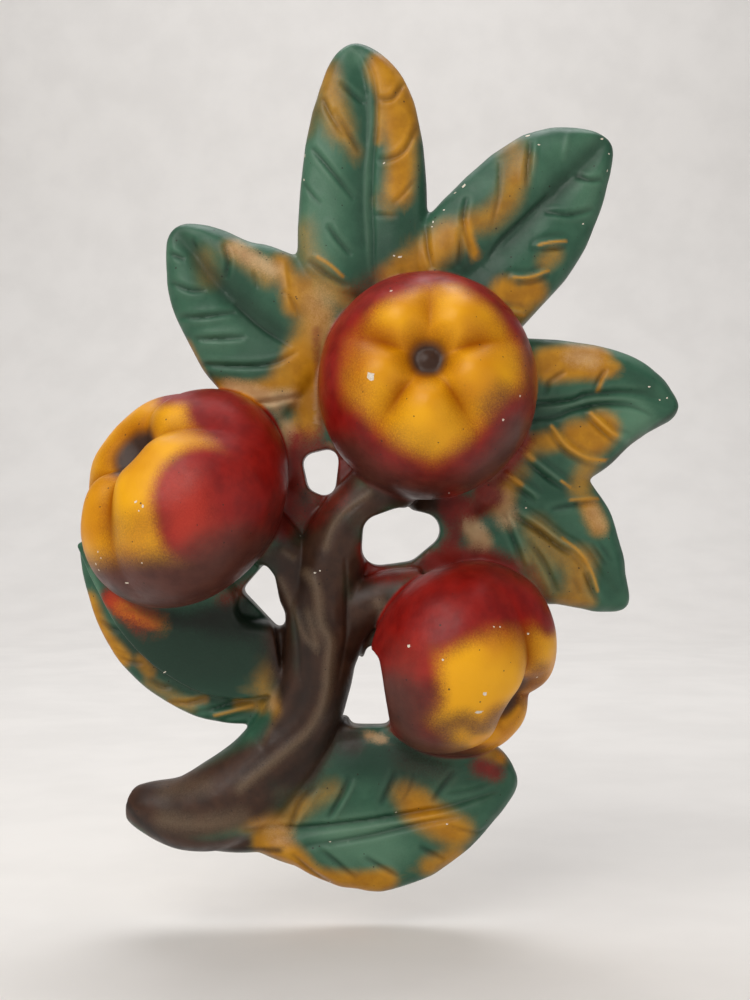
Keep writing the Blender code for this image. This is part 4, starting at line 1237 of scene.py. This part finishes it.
def painted_plaster():
    """Coats of sprayed paint in the order they were laid, varnish, dust, and the bare back."""
    n = Nodes("sprayed_and_varnished_plaster")
    speckle = n.noise(0.55, 3.0, 0.75)
    cloud = n.noise(7.0, 3.0, 0.55)
    drift = n.noise(22.0, 2.0)

    def coat(name, grain=1.0):
        """A sprayed coat, which breaks up into fine specks where it thins out."""
        raw = n.attribute(name + "_coat")
        edge = n.times(n.times(raw, n.math("SUBTRACT", 1.0, raw)), 4.0 * grain)
        jitter = n.times(n.math("SUBTRACT", speckle, 0.5), edge)
        return n.math("ADD", raw, n.times(jitter, 1.6), clamp=True)

    # Leaf green, darker where the veins are pressed in and rubbed pale on what stands up.
    tone = n.ramp(cloud, 0.3, 0.7)
    green = n.mix(tone, rgb("2c5541"), rgb("37614b"))
    green = n.mix(coat("light", 0.3), green, rgb("587f66"))
    # Darker green paint, and on the folded leaf below the left apple painted shade.
    green = n.mix(coat("deep", 0.3), green, rgb("1c3b2c"))
    green = n.mix(n.times(n.attribute("pressed"), 0.8), green, rgb("1a2f23"))
    green = n.mix(n.times(n.attribute("raised"), 0.3), green, rgb("7c9c82"))
    # Amber over the green, thin creamy patches where little paint took, and green once more.
    amber = n.mix(tone, rgb("a8700c"), rgb("c08614"))
    amber = n.mix(n.times(n.attribute("pressed"), 0.7), amber, rgb("5e420f"))
    amber = n.mix(n.times(n.attribute("raised"), 0.6), amber, rgb("d69c34"))
    colour = n.mix(coat("amber", 0.35), green, amber)
    pale = n.mix(tone, rgb("b98f62"), rgb("cfab7e"))
    colour = n.mix(n.times(coat("bare", 0.9), 0.85), colour, pale)
    colour = n.mix(coat("over", 0.5), colour, green)
    # Brown bark, greyish tan along its ridges and upper edge: partly rubbed wear, partly painted
    # highlight.
    bark = n.mix(tone, rgb("332016"), rgb("452c1e"))
    bark = n.mix(n.times(n.attribute("pressed"), 0.7), bark, rgb("1b110c"))
    colour = n.mix(coat("brown", 0.6), colour, bark)
    colour = n.mix(n.times(coat("rubbed_and_highlit", 0.8), 0.6), colour, rgb("7d6a54"))
    # The fruit, yellow at first, with crimson, rose and plum blown on from the sides; the rose is
    # partly a painted sheen and the plum on the undersides partly painted shade.
    crimson = n.mix(tone, rgb("7a0d08"), rgb("92170f"))
    fruit = n.mix(n.ramp(drift, 0.35, 0.65), rgb("d98f03"), rgb("f0ab08"))
    # Darker orange-brown in the creases and round the blossom: partly stain, partly painted shade.
    fruit = n.mix(n.times(coat("crease", 0.5), 0.9), fruit, rgb("8c3f08"))
    fruit = n.mix(coat("red", 0.6), fruit, crimson)
    # Rose: partly paint, partly a painted sheen.
    fruit = n.mix(n.times(coat("rose", 0.6), 0.7), fruit, rgb("c8402c"))
    # Plum: sprayed paint, and partly painted shade on the undersides.
    fruit = n.mix(coat("plum", 0.6), fruit, n.mix(tone, rgb("4a241c"), rgb("5a3026")))
    colour = n.mix(n.attribute("fruit_coat"), colour, fruit)
    # Reds and yellows that drifted past the fruit, the dark blossoms, and shade in the hollows.
    colour = n.mix(coat("haze", 0.9), colour, n.mix(tone, rgb("69140b"), rgb("861a0e")))
    colour = n.mix(coat("ember", 0.9), colour, rgb("bf3d17"))
    colour = n.mix(coat("gold"), colour, rgb("dc961a"))
    colour = n.mix(n.attribute("pit_coat"), colour, rgb("3a2418"))
    colour = n.mix(n.times(coat("shade", 0.5), 0.85), colour, rgb("140e0a"))
    # Painted shade on the sides turned away from the front, over thicker paint on the edges.
    colour = n.mix(n.times(n.attribute("side_shade_and_paint"), 0.7), colour, rgb("2c241a"))

    # Fine dark specks of dust held in the varnish, and pinholes left by air in the plaster.
    speck, rare = n.dots(2.6, 0.14)
    colour = n.mix(n.times(speck, n.ramp(rare, 0.45, 0.6, 0.0, 0.75)), colour, rgb("241a14"))

    # The back was never painted: bare plaster shows there and inside the nail recess.
    where = n.tree.nodes.new("ShaderNodeSeparateXYZ")
    n.tree.links.new(n.place(), where.inputs[0])
    at_back = n.math("GREATER_THAN", where.outputs["Y"], -BACK_SKIN * MM)
    across, up = (n.math("POWER", where.outputs[axis], 2.0) for axis in "XZ")
    radius = n.math("SQRT", n.math("ADD", across, up))
    in_bore = n.math("LESS_THAN", radius, (RECESS_RADIUS + RECESS_SKIN) * MM)
    behind = n.math("GREATER_THAN", where.outputs["Y"], -(RECESS_DEPTH + RECESS_FLOOR) * MM)
    unpainted = n.math("MAXIMUM", at_back, n.times(in_bore, behind))
    stain = n.ramp(n.noise(30.0, 4.0, 0.6), 0.4, 0.75)
    plaster = n.mix(stain, rgb("d9cfbf"), rgb("bfae97"))
    plaster = n.mix(n.ramp(n.noise(1.4, 3.0, 0.7), 0.62, 0.75, 0.0, 0.5), plaster, rgb("8f8371"))
    colour = n.mix(unpainted, colour, plaster)
    n.feed(n.shader.inputs["Base Color"], colour)

    # A thin satin varnish, uneven in its gloss and dull in the creases, over slightly rough plaster.
    gloss = n.ramp(n.noise(5.0, 4.0, 0.6), 0.3, 0.7, 0.36, 0.5)
    gloss = n.math("ADD", gloss, n.times(unpainted, 0.5))
    n.feed(n.shader.inputs["Roughness"], gloss)
    shine = n.times(n.math("SUBTRACT", 1.0, n.attribute("crease_coat")), 0.32)
    shine = n.math("MAXIMUM", shine, n.times(n.attribute("pit_coat"), 0.3))
    n.feed(n.shader.inputs["Specular IOR Level"], shine)
    peel = n.times(n.noise(1.7, 3.0, 0.6), 0.75)
    grit = n.times(n.noise(0.35, 2.0, 0.6), 0.18)
    height = n.math("ADD", n.math("ADD", peel, grit), n.times(speck, -0.15))
    bump = n.tree.nodes.new("ShaderNodeBump")
    bump.inputs["Strength"].default_value = 0.22
    bump.inputs["Distance"].default_value = 0.4 * MM
    n.feed(bump.inputs["Height"], height)
    n.tree.links.new(bump.outputs[0], n.shader.inputs["Normal"])
    return n.material


body.materials.clear()
body.materials.append(painted_plaster())
body.polygons.foreach_set("use_smooth", [True] * len(body.polygons))
body.set_sharp_from_angle(angle=math.radians(50))
cast = placed("painted_cast", body)
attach(cast, "root")
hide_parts("cast_plaque")

# Chips. Small flakes of paint have come off the casting where it was knocked, and show the bare
# white plaster. Each is an uneven disc laid on the surface: (x, z, half width, half height, turn).
CHIPS = (
    (52.4, 124.8, 0.9, 0.6, 30), (55.8, 120.9, 0.5, 0.3, 0), (30.4, 107.3, 0.9, 0.6, 70),
    (27.4, 105, 0.5, 0.3, 40), (23.5, 98.8, 0.4, 0.3, 10), (19.8, 94.7, 0.5, 0.3, 100),
    (19.4, 92.9, 0.3, 0.3, 0), (77.8, 123.7, 0.6, 0.4, 20), (80.1, 118.5, 0.4, 0.3, 0),
    (79.5, 112.7, 0.5, 0.3, 80), (70.9, 94.1, 0.4, 0.3, 30), (8.5, 82.5, 0.8, 0.4, 15),
    (6.5, 82.9, 0.4, 0.3, 0), (-24.1, 118.3, 0.4, 0.8, 0), (-24.3, 109.6, 0.3, 0.5, 20),
    (3.1, 114.6, 0.5, 0.3, 50), (93.5, 38.6, 0.5, 0.3, 0), (99.9, 34.9, 0.4, 0.3, 40),
    (97.4, 34.2, 0.3, 0.3, 0), (51.6, -2.7, 0.4, 0.3, 20),
    (-71.3, -58.4, 0.7, 0.2, 30), (-15.4, -130.9, 0.5, 0.3, 10), (24.5, -110.3, 0.4, 0.3, 0),
    (7.2, -106.6, 0.4, 0.3, 60), (-15.3, -116.3, 0.4, 0.3, 0), (-1.3, 38.7, 1.3, 1.6, 10),
    (46.5, 33.3, 0.4, 0.4, 0), (40.8, 25.5, 0.5, 0.5, 0), (24.3, 2.3, 0.3, 0.3, 0),
    (5.2, 67.3, 0.5, 0.4, 20), (-89.7, -16.8, 0.4, 0.3, 60), (-88.7, -18.8, 0.3, 0.3, 0),
    (-91, -20.9, 0.3, 0.5, 0), (-90.1, -22.9, 0.3, 0.4, 0), (-73.3, -19.8, 0.3, 0.3, 0),
    (-79.8, -26.7, 1.0, 0.3, 5), (-74.9, -0.6, 0.6, 0.4, 40), (-72.5, -1.9, 0.6, 0.4, 100),
    (-73.8, -3.4, 0.3, 0.3, 0), (10.7, -46.2, 0.6, 0.6, 30), (21.2, -49.9, 0.4, 0.4, 0),
    (39.4, -40, 0.3, 0.3, 0), (37.4, -39.9, 0.3, 0.3, 0), (49.4, -43.2, 0.5, 0.4, 0),
    (53.7, -58.7, 0.4, 0.4, 70), (34.5, -60.9, 0.7, 0.8, 20), (32.8, -67, 1.4, 0.6, 5),
    (-20.1, -24.4, 0.5, 0.3, 0), (-18.4, -23.7, 0.3, 0.3, 0), (-25.5, -12.2, 0.3, 0.3, 0),
)
CHIP_INPUTS = (("Corners", "Int"), ("Uneven", "Float"), ("Thickness", "Float"), ("Seed", "Int"))
CHIP_CORNERS = 11
CHIP_UNEVEN = 0.28  # share of its radius by which a corner may stray
CHIP_THICK = 0.06
CHIP_SEED = 5


def chip_tree(material):
    """Sets an uneven disc on every point, sized and turned by the point's own attributes."""
    tree = bpy.data.node_groups.new("chip_discs", "GeometryNodeTree")
    face = tree.interface
    face.new_socket("Points", in_out="INPUT", socket_type="NodeSocketGeometry")
    for name, kind in CHIP_INPUTS:
        face.new_socket(name, in_out="INPUT", socket_type="NodeSocket" + kind)
    face.new_socket("Discs", in_out="OUTPUT", socket_type="NodeSocketGeometry")
    new, link = tree.nodes.new, tree.links.new
    given, result = new("NodeGroupInput"), new("NodeGroupOutput")
    disc = new("GeometryNodeMeshCircle")
    disc.fill_type = "NGON"
    link(given.outputs["Corners"], disc.inputs["Vertices"])
    stray = new("FunctionNodeRandomValue")
    stray.data_type = "FLOAT_VECTOR"
    stray.inputs["Min"].default_value = (-1.0, -1.0, 0.0)
    stray.inputs["Max"].default_value = (1.0, 1.0, 0.0)
    link(given.outputs["Seed"], stray.inputs["Seed"])
    size = new("ShaderNodeVectorMath")
    size.operation = "SCALE"
    link(stray.outputs["Value"], size.inputs[0])
    link(given.outputs["Uneven"], size.inputs["Scale"])
    rough = new("GeometryNodeSetPosition")
    link(disc.outputs["Mesh"], rough.inputs["Geometry"])
    link(size.outputs["Vector"], rough.inputs["Offset"])
    thick = new("GeometryNodeExtrudeMesh")
    link(rough.outputs["Geometry"], thick.inputs["Mesh"])
    link(given.outputs["Thickness"], thick.inputs["Offset Scale"])
    under = new("GeometryNodeFlipFaces")
    link(rough.outputs["Geometry"], under.inputs["Mesh"])
    both = new("GeometryNodeJoinGeometry")
    link(thick.outputs["Mesh"], both.inputs["Geometry"])
    link(under.outputs["Mesh"], both.inputs["Geometry"])
    weld = new("GeometryNodeMergeByDistance")
    weld.inputs["Distance"].default_value = CHIP_THICK / 10
    link(both.outputs["Geometry"], weld.inputs["Geometry"])
    spread = new("GeometryNodeInstanceOnPoints")
    link(given.outputs["Points"], spread.inputs["Points"])
    link(weld.outputs["Geometry"], spread.inputs["Instance"])
    for name, socket in (("turn", "Rotation"), ("reach", "Scale")):
        read = new("GeometryNodeInputNamedAttribute")
        read.data_type = "FLOAT_VECTOR"
        read.inputs["Name"].default_value = name
        link(read.outputs["Attribute"], spread.inputs[socket])
    loose = new("GeometryNodeRealizeInstances")
    link(spread.outputs["Instances"], loose.inputs["Geometry"])
    skin = new("GeometryNodeSetMaterial")
    skin.inputs["Material"].default_value = material
    link(loose.outputs["Geometry"], skin.inputs["Geometry"])
    link(skin.outputs["Geometry"], result.inputs["Discs"])
    return tree


def bare_plaster():
    """White gypsum, matt and a little dusty."""
    n = Nodes("bare_gypsum")
    grain = n.ramp(n.noise(0.6, 3.0, 0.7), 0.35, 0.7)
    n.feed(n.shader.inputs["Base Color"], n.mix(grain, rgb("e8e0d2"), rgb("cdbfa8")))
    n.shader.inputs["Roughness"].default_value = 0.85
    return n.material


skin = BVHTree.FromPolygons([v.co for v in body.vertices], [p.vertices for p in body.polygons])
places, turns, reaches = [], [], []
for x, z, half_width, half_height, turn in CHIPS:
    start = Vector(((x - HANG_X) * MM, CUT_FRONT * MM, (z - HANG_Z) * MM))
    spot, normal, _, _ = skin.ray_cast(start, Vector((0.0, 1.0, 0.0)))
    if spot is None:
        raise ValueError(f"the chip at {x}, {z} lies off the plaque")
    lean = normal.to_track_quat("Z", "Y") @ Quaternion((0.0, 0.0, 1.0), math.radians(turn))
    places.append(spot - normal * (CHIP_THICK * MM / 3))
    turns.append(lean.to_euler())
    reaches.append((half_width * MM, half_height * MM, MM))
seeds = bpy.data.meshes.new("chip_places")
seeds.from_pydata(places, [], [])
for name, rows in (("turn", turns), ("reach", reaches)):
    made = seeds.attributes.new(name, "FLOAT_VECTOR", "POINT")
    made.data.foreach_set("vector", np.array([tuple(row) for row in rows]).ravel())
chips = placed("chip_places", seeds)
grow = chips.modifiers.new("discs", "NODES")
grow.node_group = chip_tree(bare_plaster())
inputs = {"Corners": CHIP_CORNERS, "Uneven": CHIP_UNEVEN, "Thickness": CHIP_THICK, "Seed": CHIP_SEED}
for socket in grow.node_group.interface.items_tree:
    if socket.in_out == "INPUT" and socket.name in inputs:
        grow[socket.identifier] = inputs[socket.name]
flakes = settled(chips)
flakes.name = "bare_chips"
spots_shown = placed("bare_chips", flakes)
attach(spots_shown, "root")
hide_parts("cast_plaque")

# Setting. A pale sweep stands a long way behind the plaque and runs forward as the floor, and
# large soft lamps stand above, in front and to the side, as a window does in a pale room.
SWEEP_COLOUR = "e9e6e2"
FLOOR_DROP = 12.0  # of the floor below the plaque, which hangs clear of it
SWEEP_BACK = 1700.0
SWEEP_FRONT = 1500.0
SWEEP_HALF = 2600.0
SWEEP_ROUND = 700.0
SWEEP_TOP = 2200.0
SWEEP_STEPS = 24


def pale_sweep():
    """One sheet of matt paper, curved from the floor up into the wall."""
    floor = cad_box[0][2] - FLOOR_DROP * MM
    profile = [(-SWEEP_FRONT * MM, floor)]
    for k in range(SWEEP_STEPS + 1):
        angle = math.pi / 2 * k / SWEEP_STEPS
        away = SWEEP_BACK - SWEEP_ROUND * (1 - math.sin(angle))
        profile.append((away * MM, floor + SWEEP_ROUND * MM * (1 - math.cos(angle))))
    profile.append((SWEEP_BACK * MM, floor + SWEEP_TOP * MM))
    points = [(x, y, z) for y, z in profile for x in (-SWEEP_HALF * MM, SWEEP_HALF * MM)]
    faces = [(2 * k, 2 * k + 1, 2 * k + 3, 2 * k + 2) for k in range(len(profile) - 1)]
    mesh = bpy.data.meshes.new("pale_sweep")
    mesh.from_pydata(points, [], faces)
    mesh.polygons.foreach_set("use_smooth", [True] * len(faces))
    n = Nodes("matt_paper")
    grain = n.ramp(n.noise(60.0, 3.0), 0.3, 0.7)
    n.feed(n.shader.inputs["Base Color"], n.mix(grain, rgb(SWEEP_COLOUR), rgb("e4e1dd")))
    n.shader.inputs["Roughness"].default_value = 0.9
    mesh.materials.append(n.material)
    return placed("pale_sweep", mesh)


pale_sweep()

LAMPS = {
    # name: (place in metres, side in metres, watts, colour)
    "window": ((-0.5, -0.85, 0.75), 1.1, 12.0, (1.0, 0.97, 0.93)),
    "room": ((0.9, -0.9, 0.1), 1.2, 2.4, (1.0, 0.96, 0.92)),
    "wall_wash": ((0.0, 0.75, 1.3), 1.2, 6.5, (0.98, 0.98, 1.0)),
    "ceiling": ((0.0, 0.5, 1.5), 1.4, 12.0, (0.98, 0.98, 1.0)),
}
middle = Vector((-HANG_X * MM, 0.0, -HANG_Z * MM))
for name, (place, side, watts, colour) in LAMPS.items():
    lamp = bpy.data.lights.new(name, "AREA")
    lamp.shape = "SQUARE"
    lamp.size = side
    lamp.energy = watts
    lamp.color = colour
    stand = placed(name, lamp)
    stand.location = place
    aim = Vector((0.0, SWEEP_BACK * MM, 0.0)) if name == "wall_wash" else middle
    stand.rotation_euler = (aim - Vector(place)).to_track_quat("-Z", "Y").to_euler()

ROOM_LIGHT = (0.93, 0.93, 0.95, 1.0)
ROOM_STRENGTH = 0.26
world = bpy.data.worlds.new("pale_room")
bpy.context.scene.world = world
world.use_nodes = True
background = world.node_tree.nodes["Background"]
background.inputs["Color"].default_value = ROOM_LIGHT
background.inputs["Strength"].default_value = ROOM_STRENGTH
bpy.context.scene.view_settings.view_transform = "Standard"

# Camera. It stands square to the plaque at arm's length, as the photograph was taken, and level
# with the middle of the casting.
CAMERA_AWAY = 500.0
HEIGHT_SEEN = 349.0  # of the plane of the back that fills the height of the picture
SENSOR = 36.0
eye = bpy.data.cameras.new("eye")
eye.sensor_width = SENSOR
eye.lens = SENSOR * CAMERA_AWAY / HEIGHT_SEEN
viewer = placed("eye", eye)
viewer.location = (-HANG_X * MM, -CAMERA_AWAY * MM, -HANG_Z * MM)
viewer.rotation_euler = (math.radians(90), 0.0, 0.0)
bpy.context.scene.camera = viewer
